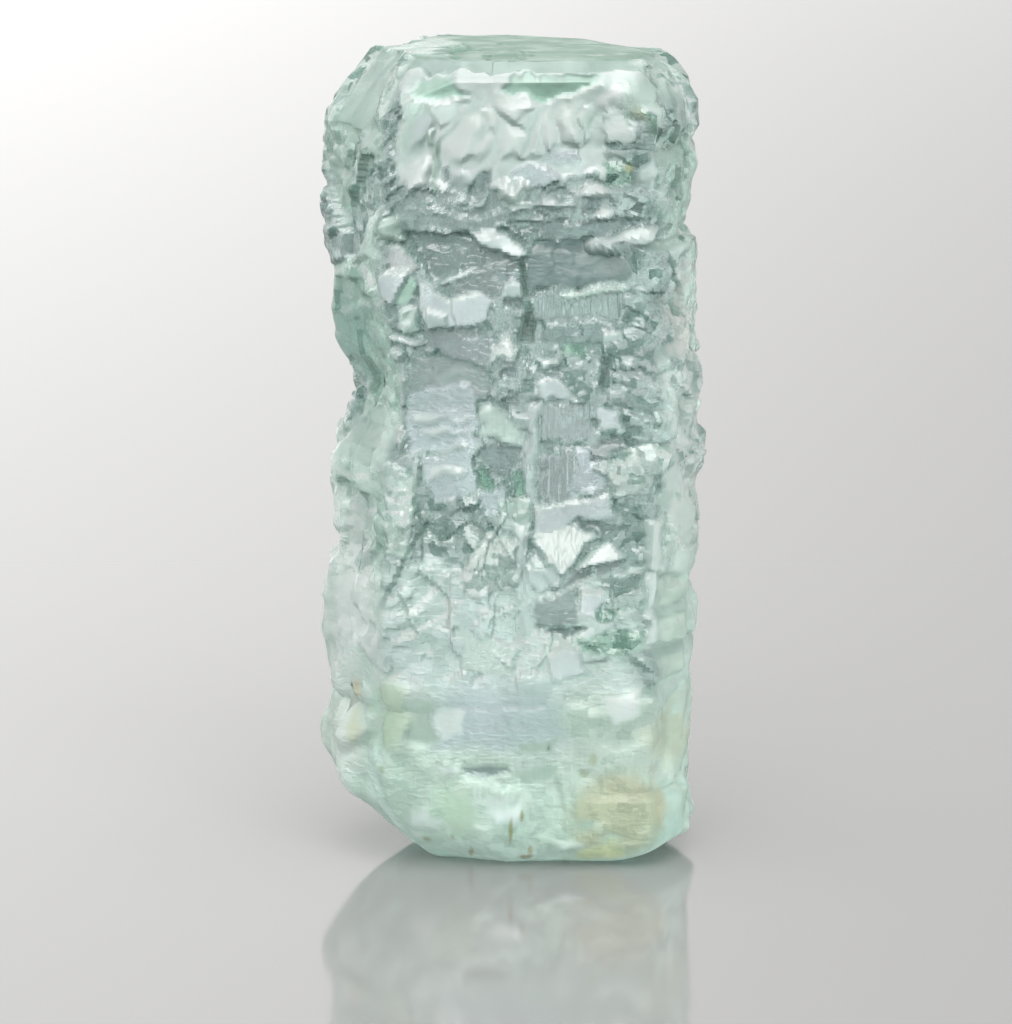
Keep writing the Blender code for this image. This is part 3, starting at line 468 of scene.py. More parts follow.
# %% Middle plates: the same columns
MIDDLE_PLATES = (
    ("window_d", "lavender_stipple", 0.05, 0.05, 0.12, "middle",
     ((185, 90), (530, 15), (530, 335), (190, 385))),
    ("window_d_low", "lavender_window", 0, -0.05, 0.15, "middle",
     ((250, 400), (530, 345), (545, 560), (330, 645), (270, 500))),
    ("streak_a", "shadow_soft", 0.1, 0, 0.2, "whole", ((424, 380), (460, 372), (478, 378), (442, 388))),
    ("streak_b", "shadow_soft", 0.1, 0, 0.2, "whole", ((408, 404), (440, 397), (446, 403), (414, 411))),
    ("streak_c", "white_soft", 0.3, 0, -0.2, "whole", ((412, 418), (470, 413), (474, 421), (418, 426))),
    ("streak_d", "shadow_soft", 0.1, 0, 0.2, "whole", ((440, 404), (474, 398), (478, 402), (446, 409))),
    ("streak_e", "white_soft", 0.3, 0, -0.2, "whole", ((420, 433), (468, 428), (470, 435), (424, 441))),
    ("streak_f", "shadow_soft", 0.1, 0, 0.2, "whole", ((424, 452), (460, 444), (470, 449), (430, 459))),
    ("streak_g", "white_soft", 0.3, 0, -0.2, "whole", ((426, 468), (466, 462), (470, 474), (430, 482))),
    ("window_e", "pale_mint", 0.15, 0, 0.1, "middle",
     ((540, 130), (640, 108), (780, 230), (775, 325), (550, 325))),
    ("window_f", "dark_window", -0.15, 0, -0.2, "middle",
     ((535, 352), (640, 320), (780, 330), (745, 425), (690, 505), (640, 485), (560, 400))),
    ("nick", "dark_green", -0.6, 0, 0, "middle",
     ((533, 480), (568, 428), (622, 520), (602, 572), (550, 545))),
    ("below_nick", "lavender_stipple", 0.1, 0, 0.1, "middle",
     ((560, 570), (690, 520), (690, 640), (560, 700))),
    ("green_stripes", "dark_green", -0.4, 0, 0, "middle",
     ((722, 462), (802, 460), (802, 592), (722, 582))),
    ("mid_column", "lavender_soft", 0.3, 0.1, 0.1, "middle",
     ((785, 130), (850, 110), (850, 640), (792, 640))),
    ("striated_h", "striated_window", 0.1, 0, 0.05, "middle",
     ((858, 130), (1140, 110), (1120, 312), (865, 315))),
    ("striated_i", "striated_window", 0.05, 0, 0, "middle",
     ((855, 370), (1030, 365), (1032, 625), (850, 605))),
    ("wavy_j", "lavender_stipple", 0.15, 0, 0.1, "middle",
     ((1030, 330), (1150, 340), (1185, 525), (1040, 572))),
    ("white_k", "lavender_plate", 0.25, 0, 0.18, "middle",
     ((820, 640), (1225, 570), (1235, 705), (830, 800))),
    ("pale_l", "lavender_plate", 0.2, 0, 0.15, "middle",
     ((1140, 140), (1275, 150), (1272, 255), (1160, 262))),
    ("dark_wedge", "dark_window", -0.25, 0, -0.25, "middle",
     ((1138, 292), (1290, 272), (1335, 330), (1172, 392))),
    ("grey_small", "dark_window", -0.1, 0, -0.2, "middle",
     ((1108, 342), (1192, 342), (1180, 402), (1110, 432))),
    ("fragments", "white_clump", 0.6, 0, -0.1, "whole",
     ((486, 350), (505, 335), (522, 345), (520, 358), (490, 362))),
    ("hole_a", "grey_window", -0.1, 0, 0.2, "whole", ((500, 368), (518, 366), (518, 378), (502, 378))),
    ("nub_a", "bright_soft", 0.8, 0, -0.3, "whole", ((501, 361), (514, 358), (515, 367), (503, 367))),
    ("nub_b", "bright_soft", 0.8, 0, -0.2, "whole", ((525, 372), (531, 369), (536, 378), (526, 381))),
    ("hole_b", "grey_window", -0.2, 0, 0.3, "whole", ((521, 380), (534, 380), (532, 388), (522, 389))),
    ("nub_c", "white_clump", 0.6, 0, -0.2, "whole", ((498, 385), (512, 384), (513, 394), (500, 394))),
    ("hole_c", "grey_window", -0.1, 0, 0.2, "whole", ((503, 394), (520, 394), (520, 403), (505, 402))),
    ("green_eye", "dark_green", -0.3, 0, 0.2, "whole", ((571, 345), (581, 343), (581, 358), (573, 358))),
    ("left_dark", "grey_window", -0.1, 0.1, 0.2, "whole",
     ((385, 364), (402, 364), (402, 378), (386, 378))),
    ("left_line", "dark_green", -0.3, 0, 0, "whole", ((375, 335), (381, 338), (385, 440), (379, 440))),
    ("shard_dark", "dark_green", -0.2, 0.2, 0.2, "whole",
     ((405, 472), (411, 470), (419, 487), (413, 489))),
    ("shard_white", "bright_soft", 0.7, 0.3, -0.2, "whole",
     ((408, 464), (416, 460), (420, 474), (416, 480))),
    ("dark_bar", "grey_window", -0.1, 0.2, 0.1, "whole",
     ((536, 462), (546, 450), (550, 470), (540, 480))),
    ("clump_round", "white_clump", 0.6, 0, 0.1, "middle",
     ((1140, 445), (1280, 362), (1450, 328), (1505, 400), (1400, 600), (1250, 592), (1155, 485))),
    ("clump_upper", "clump", 0.3, 0, 0, "middle",
     ((1290, 0), (1440, 0), (1440, 330), (1330, 300), (1280, 160))),
    ("grey_wedge", "dark_window", -0.2, 0, -0.28, "middle",
     ((990, 732), (1050, 700), (1240, 742), (1262, 762), (1160, 802))),
    ("rough_grey", "grey_clump", -0.1, 0, -0.1, "middle",
     ((220, 660), (600, 700), (560, 780), (480, 845), (250, 862))),
    ("low_clump", "mint_clump", 0.2, 0, 0, "middle", ((620, 600), (812, 600), (782, 792), (660, 772))),
    ("left_lavender", "warm_lavender", 0.15, 0.1, 0.1, "middle",
     ((60, 100), (180, 100), (155, 330), (75, 330))),
    ("left_sliver", "white_plate", 0.5, 0.2, 0.3, "middle",
     ((132, 320), (162, 310), (168, 378), (140, 378))),
    ("left_mint", "mint_clump", 0.25, 0, 0, "middle", ((60, 400), (230, 500), (222, 905), (90, 905))),
)
print(len(MIDDLE_PLATES), "middle plates")

# %% [markdown]
# ## Plates where the milk begins
#
# Further down the crystal turns cloudy, and the etching shows only faintly through the milk.
# Two wide fields set the new tone first, and then paler and darker strips follow it down.

# %% Lower plates: the same columns
LOWER_PLATES = (
    ("low_field", "low_milk", 0.1, 0, 0.05, "lower", ((0, 190), (1300, 190), (1300, 855), (0, 855))),
    ("foot_field", "foot_milk", 0.1, 0, 0.05, "whole", ((352, 688), (668, 688), (672, 872), (352, 872))),
    ("mid_strip", "lavender_soft", 0.25, 0.1, 0.1, "lower",
     ((700, 60), (760, 60), (785, 565), (720, 565))),
    ("white_clump", "white_clump", 0.45, 0, 0.1, "lower",
     ((430, 200), (560, 60), (720, 110), (705, 300), (540, 362), (440, 332))),
    ("chevron_a", "white_striated", 0.6, 0, -0.42, "lower",
     ((785, 90), (960, 20), (1062, 82), (930, 256), (830, 202))),
    ("dark_quad", "dark_window", -0.3, 0, -0.28, "lower",
     ((1000, 10), (1192, 50), (1105, 94), (1030, 52))),
    ("chevron_b", "white_plate", 0.8, 0, -0.45, "lower",
     ((942, 258), (1130, 92), (1222, 190), (1085, 222))),
    ("white_triangle", "white_plate", 0.45, 0, 0.3, "lower",
     ((733, 216), (870, 215), (932, 270), (810, 352), (745, 302))),
    ("underside", "grey_window", -0.1, 0, -0.25, "lower",
     ((755, 378), (1060, 216), (1078, 292), (920, 334), (770, 402))),
    ("underside_right", "grey_window", -0.1, 0, -0.25, "lower",
     ((1060, 216), (1228, 194), (1212, 220), (1078, 292))),
    ("stippled_light", "grey_stipple", 0.15, 0, 0.05, "lower",
     ((780, 402), (990, 322), (992, 492), (800, 512))),
    ("smooth_light", "lavender_plate", 0.3, 0, 0.2, "lower",
     ((995, 332), (1112, 330), (1102, 442), (992, 472))),
    ("green_spot", "dark_green", -0.2, 0, 0, "lower",
     ((1080, 430), (1200, 418), (1165, 512), (1090, 474))),
    ("lens", "dark_window", -0.5, 0, -0.28, "lower", ((798, 512), (1062, 512), (930, 577))),
    ("grey_rough", "grey_clump", 0.2, 0, 0, "lower",
     ((1100, 282), (1300, 232), (1302, 425), (1110, 402))),
    ("dark_rough", "green_clump", 0.1, 0, -0.1, "lower",
     ((980, 560), (1300, 528), (1308, 640), (1150, 662), (1000, 642))),
    ("black_streak", "dark_window", -0.2, 0, -0.2, "lower",
     ((985, 690), (1160, 652), (1140, 680), (1050, 705))),
    ("shard", "lavender_plate", 0.35, 0, 0.15, "lower",
     ((850, 652), (920, 580), (1000, 650), (1042, 742), (870, 762))),
    ("fine_mint", "mint_stipple", 0.1, 0, 0.05, "lower",
     ((400, 505), (715, 600), (692, 762), (450, 722))),
    ("white_line", "white_plate", 0.4, 0.2, -0.3, "lower",
     ((515, 580), (540, 578), (692, 705), (672, 708))),
    ("thin_wedge", "grey_window", -0.1, 0, -0.2, "lower", ((580, 492), (690, 430), (605, 468))),
    ("right_column", "white_soft", 0.2, 0.1, 0.05, "lower",
     ((1310, 0), (1400, 0), (1400, 640), (1310, 640))),
)
print(len(LOWER_PLATES), "lower plates")

# %% [markdown]
# ## Plates of the milky foot
#
# The broken foot is almost all milk, with lavender and olive patches deep in it and a pale rim where it
# meets the base, with a painted glint on it. These plates have the widest edges, so that one fades into the
# next.

# %% Foot plates: the same columns
FOOT_PLATES = (
    ("milk_lavender", "milk_lavender", 0.1, 0, 0.05, "foot",
     ((480, 0), (1000, 0), (1085, 260), (900, 332), (480, 302))),
    ("line_a", "lavender_window", -0.15, 0, -0.2, "foot",
     ((560, 104), (955, 94), (950, 118), (560, 126))),
    ("line_b", "lavender_window", -0.15, 0, -0.2, "foot",
     ((640, 200), (880, 190), (880, 204), (640, 212))),
    ("foot_window", "lavender_soft", 0, 0, -0.15, "foot",
     ((800, 332), (960, 320), (982, 402), (850, 428))),
    ("foot_glint", "white_plate", 0.4, 0, -0.45, "foot",
     ((478, 346), (600, 352), (600, 388), (540, 372))),
    ("dark_lens", "dark_window", -0.4, 0, -0.25, "foot",
     ((608, 346), (790, 344), (802, 366), (700, 397), (622, 386))),
    ("foot_pale", "mint_milk", 0.3, 0, 0.15, "foot", ((690, 440), (900, 440), (940, 560), (700, 560))),
    ("olive_patch_left", "olive_soft", 0.2, 0.1, 0, "whole",
     ((380, 688), (402, 682), (406, 742), (383, 748))),
    ("mint_patch_left", "mint_shadow", 0.1, 0.1, 0.1, "whole",
     ((404, 700), (430, 696), (436, 740), (410, 748))),
    ("white_patch_left", "satin", 0.15, 0.1, -0.1, "whole",
     ((436, 706), (470, 712), (462, 736), (438, 738))),
    ("olive_patch_low", "olive_soft", 0.1, 0, 0.1, "whole",
     ((444, 790), (474, 785), (480, 836), (448, 846))),
    ("shard_low_left", "white_soft", 0.5, 0.2, -0.3, "whole",
     ((405, 812), (432, 804), (438, 826), (412, 834))),
    ("shard_low_mid", "white_soft", 0.45, 0.1, -0.3, "whole",
     ((482, 806), (520, 800), (528, 822), (488, 828))),
    ("shadow_low_mid", "shadow_soft", 0.1, 0, 0.2, "whole",
     ((486, 798), (520, 794), (522, 800), (488, 806))),
    ("shade_right", "mint_shadow", 0.1, 0, 0.2, "whole",
     ((512, 766), (560, 762), (556, 780), (516, 784))),
    ("patch_mid", "mint_shadow", 0.1, 0, 0.1, "whole", ((516, 740), (560, 736), (556, 752), (520, 756))),
    ("shard_right", "satin", 0.25, -0.1, -0.2, "whole", ((600, 700), (640, 690), (646, 716), (610, 722))),
    ("step_right", "mint_shadow", 0.1, -0.2, 0.2, "whole",
     ((574, 794), (590, 790), (592, 838), (578, 834))),
    ("shard_edge", "white_soft", 0.5, -0.2, -0.3, "whole",
     ((668, 800), (684, 796), (682, 826), (670, 830))),
    ("white_rim_low", "bright_soft", 0.6, 0, -0.4, "whole",
     ((556, 846), (590, 842), (588, 852), (560, 856))),
)
print(len(FOOT_PLATES), "foot plates")

# %% [markdown]
# ## All the front plates, in millimetres
#
# The whole face is etched before any one plate shows, so a field of chips goes underneath as
# the first plate. Its four corners are simply the edges of the face, in millimetres.

# %% Front face: name, look, level, lean across, lean up, corners (x, z)
FRONT_FIELD = ("front_field", "clump", 0.0, 0.0, 0.0, ((-9.6, 0.5), (11.6, 0.5), (11.4, 56.6), (-9.4, 56.6)))
MARKED_PLATES = SHOULDER_PLATES + UPPER_PLATES + MIDDLE_PLATES + LOWER_PLATES + FOOT_PLATES
FRONT_PLATES = [FRONT_FIELD]
for name, look, level, lean_across, lean_up, sheet, marks in MARKED_PLATES:
    FRONT_PLATES.append((name, look, level, lean_across, lean_up, on_the_front(sheet, marks)))
print(len(FRONT_PLATES), "plates in front")

# %% [markdown]
# ## The flat top
#
# The top face is smooth glass with a worn terrace at one side, two patches of crust and two
# pale streaks. It takes the same plates as the front, but their corners are given straight in
# millimetres, as seen from above.

# %% Top face: the same, with corners (x, y)
TOP_PLATES = (
    ("terrace_left", "pale_mint", 0.3, 0.06, 0.0, ((-9.5, -8.0), (-4.2, -9.4), (-3.0, 3.0), (-6.5, 4.5))),
    ("crust_front", "top_crust", -0.3, 0.0, 0.0, ((-1.9, -8.6), (1.4, -8.9), (1.7, -5.0), (-1.2, -4.4))),
    ("crust_back", "top_crust", -0.25, 0.0, 0.0, ((-1.4, -3.2), (1.2, -3.8), (1.6, 1.8), (-0.4, 2.6))),
    ("streak_front", "white_soft", -0.2, 0.0, 0.0, ((5.2, -5.6), (9.0, -4.2), (8.6, -3.4), (4.8, -4.6))),
    ("streak_back", "white_soft", -0.2, 0.0, 0.0, ((4.0, 0.2), (8.4, 1.4), (8.0, 2.2), (3.8, 1.4))),
)
print(len(TOP_PLATES), "plates on top")

# %% [markdown]
# ## Stains, cloudy spots and a little painted light
#
# The foot grew against its host rock. It kept iron stains, a honey-coloured patch, olive specks in its pits
# and a chalky lump. They could be painted on, but a painted skin is tied to one mesh. Each is a soft
# ellipsoid in the crystal instead, which colours the surface it meets. Three more ellipsoids of the same
# kind carry painted light and shade. One darkens the notch on the left flank as painted shade. Two whiten
# the flanks, partly as frosted skin and partly as painted light.

# %% Stains and painted light: name, middle, half-sizes, strength, frost, colour
STAINS_AND_PAINTED_LIGHT = (
    ("honey_patch", (8.2, -9.0, 4.3), (4.6, 7.0, 4.0), 0.85, 0.62, (0.69, 0.60, 0.37)),
    ("honey_rim", (11.0, -8.0, 4.4), (0.7, 5.0, 2.4), 0.6, 0.5, (0.74, 0.56, 0.32)),
    ("beige_flank", (11.2, -6.0, 9.2), (3.2, 8.0, 3.2), 0.8, 0.4, (0.80, 0.80, 0.60)),
    ("olive_flank", (-8.2, -9.0, 11.4), (2.0, 6.0, 3.6), 0.75, 0.4, (0.66, 0.80, 0.58)),
    ("chalk_lump", (-12.0, -6.0, 9.0), (2.9, 7.0, 4.4), 0.85, 0.5, (0.95, 0.93, 0.90)),
    ("rust_line", (-10.7, -8.0, 12.5), (0.4, 6.0, 1.0), 0.8, 0.3, (0.78, 0.58, 0.34)),
    ("rust_patch", (-10.9, -8.0, 9.9), (0.8, 6.0, 1.3), 0.7, 0.3, (0.72, 0.68, 0.46)),
    ("olive_low", (-3.9, -10.0, 4.7), (2.6, 5.0, 2.4), 0.5, 0.4, (0.62, 0.78, 0.56)),
    ("yellow_edge", (6.9, -8.0, 1.3), (2.6, 6.0, 0.9), 0.85, 0.3, (0.80, 0.74, 0.34)),
    # painted shade: darkens and greens the recess of the left notch
    ("notch_shade", (-12.4, -6.0, 36.0), (4.6, 11.0, 7.6), 0.95, 0.2, (0.28, 0.44, 0.40)),
    # partly frosted skin, partly painted light: whitens the left flank
    ("pale_flank", (-12.4, -6.0, 19.5), (3.4, 9.0, 9.4), 0.8, 0.34, (1.0, 1.0, 1.0)),
    ("shoulder_mint", (-11.0, -6.0, 50.5), (3.6, 8.0, 6.0), 0.5, 0.3, (0.58, 0.78, 0.68)),
    # partly frosted skin, partly painted light: whitens the right flank
    ("pale_flank_right", (13.0, -6.0, 29.0), (2.2, 9.0, 11.0), 0.8, 0.34, (1.0, 1.0, 0.99)),
    ("shoulder_green", (12.4, -6.0, 49.0), (2.8, 9.0, 6.6), 0.6, 0.2, (0.44, 0.60, 0.54)),
    ("pink_flank", (12.4, -5.0, 39.4), (1.2, 8.0, 5.0), 0.7, 0.3, (0.94, 0.86, 0.83)),
    ("speck_tall", (0.3, -10.0, 3.0), (0.22, 5.0, 1.3), 1.0, 0.3, (0.30, 0.28, 0.10)),
    ("speck_upper", (1.1, -10.0, 4.1), (0.26, 5.0, 0.6), 1.0, 0.3, (0.30, 0.24, 0.10)),
    ("speck_fork", (1.7, -10.0, 1.3), (0.24, 5.0, 0.5), 1.0, 0.3, (0.30, 0.24, 0.10)),
    ("speck_base", (1.4, -10.0, 0.7), (0.7, 5.0, 0.3), 1.0, 0.3, (0.26, 0.18, 0.08)),
    ("speck_base_left", (-2.5, -10.0, 0.9), (0.26, 5.0, 0.6), 1.0, 0.3, (0.30, 0.24, 0.10)),
    ("speck_left", (-5.6, -9.0, 1.9), (0.6, 5.0, 0.4), 1.0, 0.3, (0.30, 0.28, 0.14)),
    ("speck_left_low", (-3.8, -9.0, 2.3), (0.25, 5.0, 0.25), 0.9, 0.3, (0.42, 0.40, 0.22)),
    ("white_vein", (-5.4, -10.0, 3.6), (1.3, 5.0, 0.8), 0.7, 0.4, (0.96, 1.0, 0.97)),
    ("white_vein_low", (-6.6, -10.0, 2.2), (1.0, 5.0, 0.6), 0.7, 0.4, (0.96, 1.0, 0.97)),
    ("white_vein_mid", (-0.9, -10.0, 5.2), (1.6, 5.0, 0.7), 0.6, 0.4, (0.94, 1.0, 0.96)),
    ("pale_right", (3.4, -10.0, 3.8), (1.5, 5.0, 2.2), 0.5, 0.4, (0.84, 0.92, 0.80)),
    ("mint_deep", (-7.4, -10.0, 6.4), (1.8, 5.0, 1.6), 0.5, 0.4, (0.60, 0.78, 0.66)),
    ("speck_far_left", (-8.9, -9.0, 7.3), (0.35, 5.0, 0.3), 0.9, 0.3, (0.40, 0.46, 0.30)),
    ("speck_right", (6.3, -10.0, 8.2), (0.45, 5.0, 0.6), 0.8, 0.3, (0.46, 0.52, 0.32)),
    ("speck_right_low", (5.7, -10.0, 7.2), (0.5, 5.0, 0.4), 0.8, 0.3, (0.46, 0.52, 0.32)),
    ("speck_dark", (3.1, -10.0, 9.1), (0.22, 5.0, 0.4), 0.9, 0.2, (0.30, 0.38, 0.35)),
    ("moss_spots", (9.3, -10.0, 54.3), (0.7, 4.0, 1.2), 0.7, 0.2, (0.50, 0.56, 0.36)),
    ("amber_spot", (8.6, -10.0, 50.6), (0.35, 4.0, 0.4), 0.9, 0.2, (0.60, 0.52, 0.20)),
)
print(len(STAINS_AND_PAINTED_LIGHT), "stains")

# %% [markdown]
# ## Chance with a fixed seed
#
# No two etch marks are alike, yet the crystal has to come out the same each time. So chance here
# is a scrambled whole number: the same cell always gives the same value. Smooth noise blends the
# values of neighbouring cells.

# %% Chance values and smooth noise
def smoothstep(low, high, value):
    """0 below low, 1 above high, and a smooth rise between them."""
    t = np.clip((value - low) / (high - low), 0.0, 1.0)
    return t * t * (3.0 - 2.0 * t)


def random_of(ix, iy, iz, seed):
    """A fixed random number from 0 to 1 for each whole-number cell."""
    h = ix * 374761393 + iy * 668265263 + iz * 1440662683 + seed * 1274126177
    h = h & 0xFFFFFFFF
    h = ((h ^ (h >> 13)) * 1274126177) & 0xFFFFFFFF
    h = ((h ^ (h >> 15)) * 2246822519) & 0xFFFFFFFF
    return ((h ^ (h >> 16)) & 0xFFFFFFFF) / 4294967295.0


def noise(along, up, across_size, up_size, seed):
    """Smooth noise from -1 to 1, with no seam round the crystal."""
    around = round(GIRTH / across_size)
    x, y = along / across_size, up / up_size
    ix, iy = np.floor(x).astype(np.int64), np.floor(y).astype(np.int64)
    fx, fy = x - ix, y - iy
    fx, fy = fx * fx * (3.0 - 2.0 * fx), fy * fy * (3.0 - 2.0 * fy)
    left, right = ix % around, (ix + 1) % around
    low = random_of(left, iy, 0, seed) * (1.0 - fx) + random_of(right, iy, 0, seed) * fx
    iy = iy + 1
    high = random_of(left, iy, 0, seed) * (1.0 - fx) + random_of(right, iy, 0, seed) * fx
    return 2.0 * (low * (1.0 - fy) + high * fy) - 1.0


print("chance value of the first cell:", round(random_of(0, 0, 0, 1), 3))

# %% [markdown]
# ## Tilted facets and wavy ledges
#
# Etched beryl is a crowd of small flat facets, each tilted its own way, crossed by ledges that
# run round the crystal. Sculpting thousands of them would never end, and plain noise comes out
# too round. Here a seed is scattered in each cell of a grid, and every point takes the tilted
# plane of its nearest seed: flat facets with sharp borders. Three sizes are laid together.

# %% Facets: size across, size up, depth, lean, seed; ledges: pitch, depth
BLOCKS = (4.95, 7.2, 0.5, 0.22, 11)
FACETS = (2.4, 3.0, 0.4, 0.60, 37)
CHIPS = (1.5, 1.1, 0.16, 0.6, 71)
LEDGE_PITCH = 2.9
LEDGE_DEPTH = 0.4
LEDGE_RISE = 0.85
LEDGE_DROP = 0.15


def facets(along, up, sizes):
    """Flat tilted facets in millimetres, and a random number that each facet keeps.

    `along` is the distance round the crystal and `up` the distance up its surface. The seeds are
    scattered one to a cell. Each point takes the tilted plane of its nearest seed, with distance
    measured in cubes so that the facets are blocky.
    """
    across_size, up_size, depth, lean, seed = sizes
    around = round(GIRTH / across_size)
    x, y = along / across_size, up / up_size
    ix, iy = np.floor(x).astype(np.int64), np.floor(y).astype(np.int64)
    nearest = np.full(x.shape, 1e9)
    height = np.zeros(x.shape)
    pick = np.zeros(x.shape)
    for dx in (-1, 0, 1):
        for dy in (-1, 0, 1):
            column, row = (ix + dx) % around, iy + dy
            away_x = x - ix - dx - random_of(column, row, 0, seed)
            away_y = y - row - random_of(column, row, 1, seed)
            tilt_x = (random_of(column, row, 2, seed) - 0.5) * lean * across_size
            tilt_y = (random_of(column, row, 3, seed) - 0.5) * lean * up_size
            level = (random_of(column, row, 4, seed) - 0.5) * depth
            plane = level + tilt_x * away_x + tilt_y * away_y
            far = np.abs(away_x) ** 3 + np.abs(away_y) ** 3
            closer = far < nearest
            height = np.where(closer, plane, height)
            pick = np.where(closer, random_of(column, row, 5, seed), pick)
            nearest = np.where(closer, far, nearest)
    return np.clip(height, -depth, depth), pick


def ledges(along, up, pitch):
    """Wavy ledges from 0 to 1 that lean out as they climb and then drop back."""
    turn = 2.0 * math.pi * along / GIRTH
    wave = 0.35 * np.sin(5.0 * turn + 1.0) + 0.25 * np.sin(11.0 * turn + 0.04 * up)
    step = up / pitch + wave + 0.5 * noise(along, up, 3.3, 4.0, 5)
    part = step - np.floor(step)
    return np.where(part < LEDGE_RISE, part / LEDGE_RISE, (1.0 - part) / LEDGE_DROP)


print("facets", FACETS[0], "x", FACETS[1], "mm; a ledge every", LEDGE_PITCH, "mm")

# %% [markdown]
# ## The smooth body
#
# A prism could be extruded and bevelled, but the worn shoulder, the foot and the flanks differ
# in every direction. A grid wrapped round the axis is simpler: rings of points run from the
# middle of the base, up the foot, wall and shoulder, to the middle of the top, and each ring is
# a function of the direction.

# %% Distance from the axis to the side
LEFT_LOOKS = math.radians(-168.0)
RIGHT_LOOKS = math.radians(-14.0)
FLANK_SHARE = (0.35, 0.9)


def prism_radius(angle):
    """Half-planes blended by a high power, which leaves the edges a little worn."""
    total = np.zeros_like(angle)
    for _, looks, distance in PRISM_FACES:
        toward = np.maximum(np.cos(angle - math.radians(looks)), 0.0)
        total = total + (toward / distance) ** EDGE_SHARPNESS
    return total ** (-1.0 / EDGE_SHARPNESS)


def round_table(table, angle):
    """Cut depth, cut height and roundness at each angle, from a table of directions."""
    rows = np.array(table)
    degrees = np.degrees(angle)
    return [np.interp(degrees, rows[:, 0], rows[:, k]) for k in (1, 2, 3)]


def flank_shift(angle, height):
    """How far the two flanks stand out from the plain prism at this height."""
    left = np.array(LEFT_FLANK)
    right = np.array(RIGHT_FLANK)
    left_shift = np.interp(height, left[:, 0], left[:, 1]) - LEFT_WIDTH
    right_shift = np.interp(height, right[:, 0], right[:, 1]) - RIGHT_WIDTH
    left_share = smoothstep(*FLANK_SHARE, np.cos(angle - LEFT_LOOKS))
    right_share = smoothstep(*FLANK_SHARE, np.cos(angle - RIGHT_LOOKS))
    return left_shift * left_share + right_shift * right_share


def lump_radius(angle, height, middle, half):
    """Distance from the axis to the far side of a lump, or 0 where the lump isn't met."""
    across = np.cos(angle) / half[0]
    along = np.sin(angle) / half[1]
    mx = middle[0] / half[0]
    my = middle[1] / half[1]
    mz = (height - middle[2]) / half[2]
    a = across * across + along * along
    b = across * mx + along * my
    inside = b * b - a * (mx * mx + my * my + mz * mz - 1.0)
    return np.where(inside > 0.0, (b + np.sqrt(np.maximum(inside, 0.0))) / a, 0.0)


def side_radius(angle, height, inset):
    """Prism, flanks and cut together, or the nearest lump where one stands further out."""
    radius = prism_radius(angle) + flank_shift(angle, height) - inset
    for _, middle, half in LUMPS:
        radius = np.maximum(radius, lump_radius(angle, height, middle, half))
    return radius


middle_left = side_radius(np.array(-math.pi), HEIGHT / 2.0, 0.0)
print("half-width at mid height, left", round(float(middle_left), 2), "mm")

# %% [markdown]
# ## Rings from the base to the top
#
# The foot and the shoulder are rounded cuts. Each follows a superellipse, a quarter turn whose
# power makes it rounder or flatter in each direction. Between them the wall rises straight. The
# columns are packed closer in front, where the etching is finest, so that the mesh spends its
# faces where they are seen.

# %% The grid of the smooth body
FRONT_DENSITY = 0.5


def smooth_body(columns, rings):
    """Points from the middle of the base to the middle of the top, and the distance up."""
    turn = np.linspace(-math.pi, math.pi, columns, endpoint=False)[None, :]
    angle = turn - FRONT_DENSITY * np.cos(turn)
    foot_in, foot_tall, foot_round = round_table(FOOT, angle)
    top_in, top_tall, top_round = round_table(SHOULDER, angle)
    base, foot, wall, shoulder, top = rings

    sweep = np.linspace(0.0, math.pi / 2.0, foot + 1)[:, None]
    foot_z = foot_tall * (1.0 - np.cos(sweep) ** (2.0 / foot_round))
    foot_inset = foot_in * (1.0 - np.sin(sweep) ** (2.0 / foot_round))
    foot_r = side_radius(angle, foot_z, foot_inset)

    climb = np.linspace(0.0, 1.0, wall + 1)[1:-1, None]
    wall_z = foot_tall + climb * (HEIGHT - top_tall - foot_tall)
    wall_r = side_radius(angle, wall_z, 0.0)

    sweep = np.linspace(0.0, math.pi / 2.0, shoulder + 1)[:, None]
    shoulder_z = HEIGHT - top_tall * (1.0 - np.sin(sweep) ** (2.0 / top_round))
    shoulder_inset = top_in * (1.0 - np.cos(sweep) ** (2.0 / top_round))
    shoulder_r = side_radius(angle, shoulder_z, shoulder_inset)

    share = np.linspace(0.0, 1.0, base + 1)[1:-1, None]
    base_r = foot_r[:1] * share
    share = np.linspace(1.0, 0.0, top + 1)[1:-1, None]
    top_r = shoulder_r[-1:] * share

    radius = np.concatenate((base_r, foot_r, wall_r, shoulder_r, top_r))
    height = np.concatenate(
        (np.zeros_like(base_r), foot_z, wall_z, shoulder_z, np.full_like(top_r, HEIGHT))
    )
    body = np.stack((radius * np.cos(angle), radius * np.sin(angle), height), -1)
    return body, height + np.maximum(shoulder_r[-1:] - radius, 0.0) * (height > HEIGHT - 0.01)


def outward(body):
    """Unit normals of the grid, from its steps round and up."""
    round_step = np.roll(body, -1, axis=1) - np.roll(body, 1, axis=1)
    up_step = np.gradient(body, axis=0)
    normal = np.cross(round_step, up_step)
    length = np.linalg.norm(normal, axis=-1, keepdims=True)
    return normal / np.maximum(length, 1e-9)


coarse_body = smooth_body(36, (2, 4, 12, 4, 2))[0]
print("a coarse body spans", np.round(np.ptp(coarse_body.reshape(-1, 3), axis=0), 1), "mm")

# %% [markdown]
# ## Etched relief
#
# The look of this crystal is its etched skin: light bends differently through each little
# facet. The relief is a height above the smooth body. Before any plate is laid, each point
# gets a look by chance: clear looks above, milky ones at the foot, calmer glass behind, clean
# glass on top and along the bevel, and a crust on the worn shoulder.

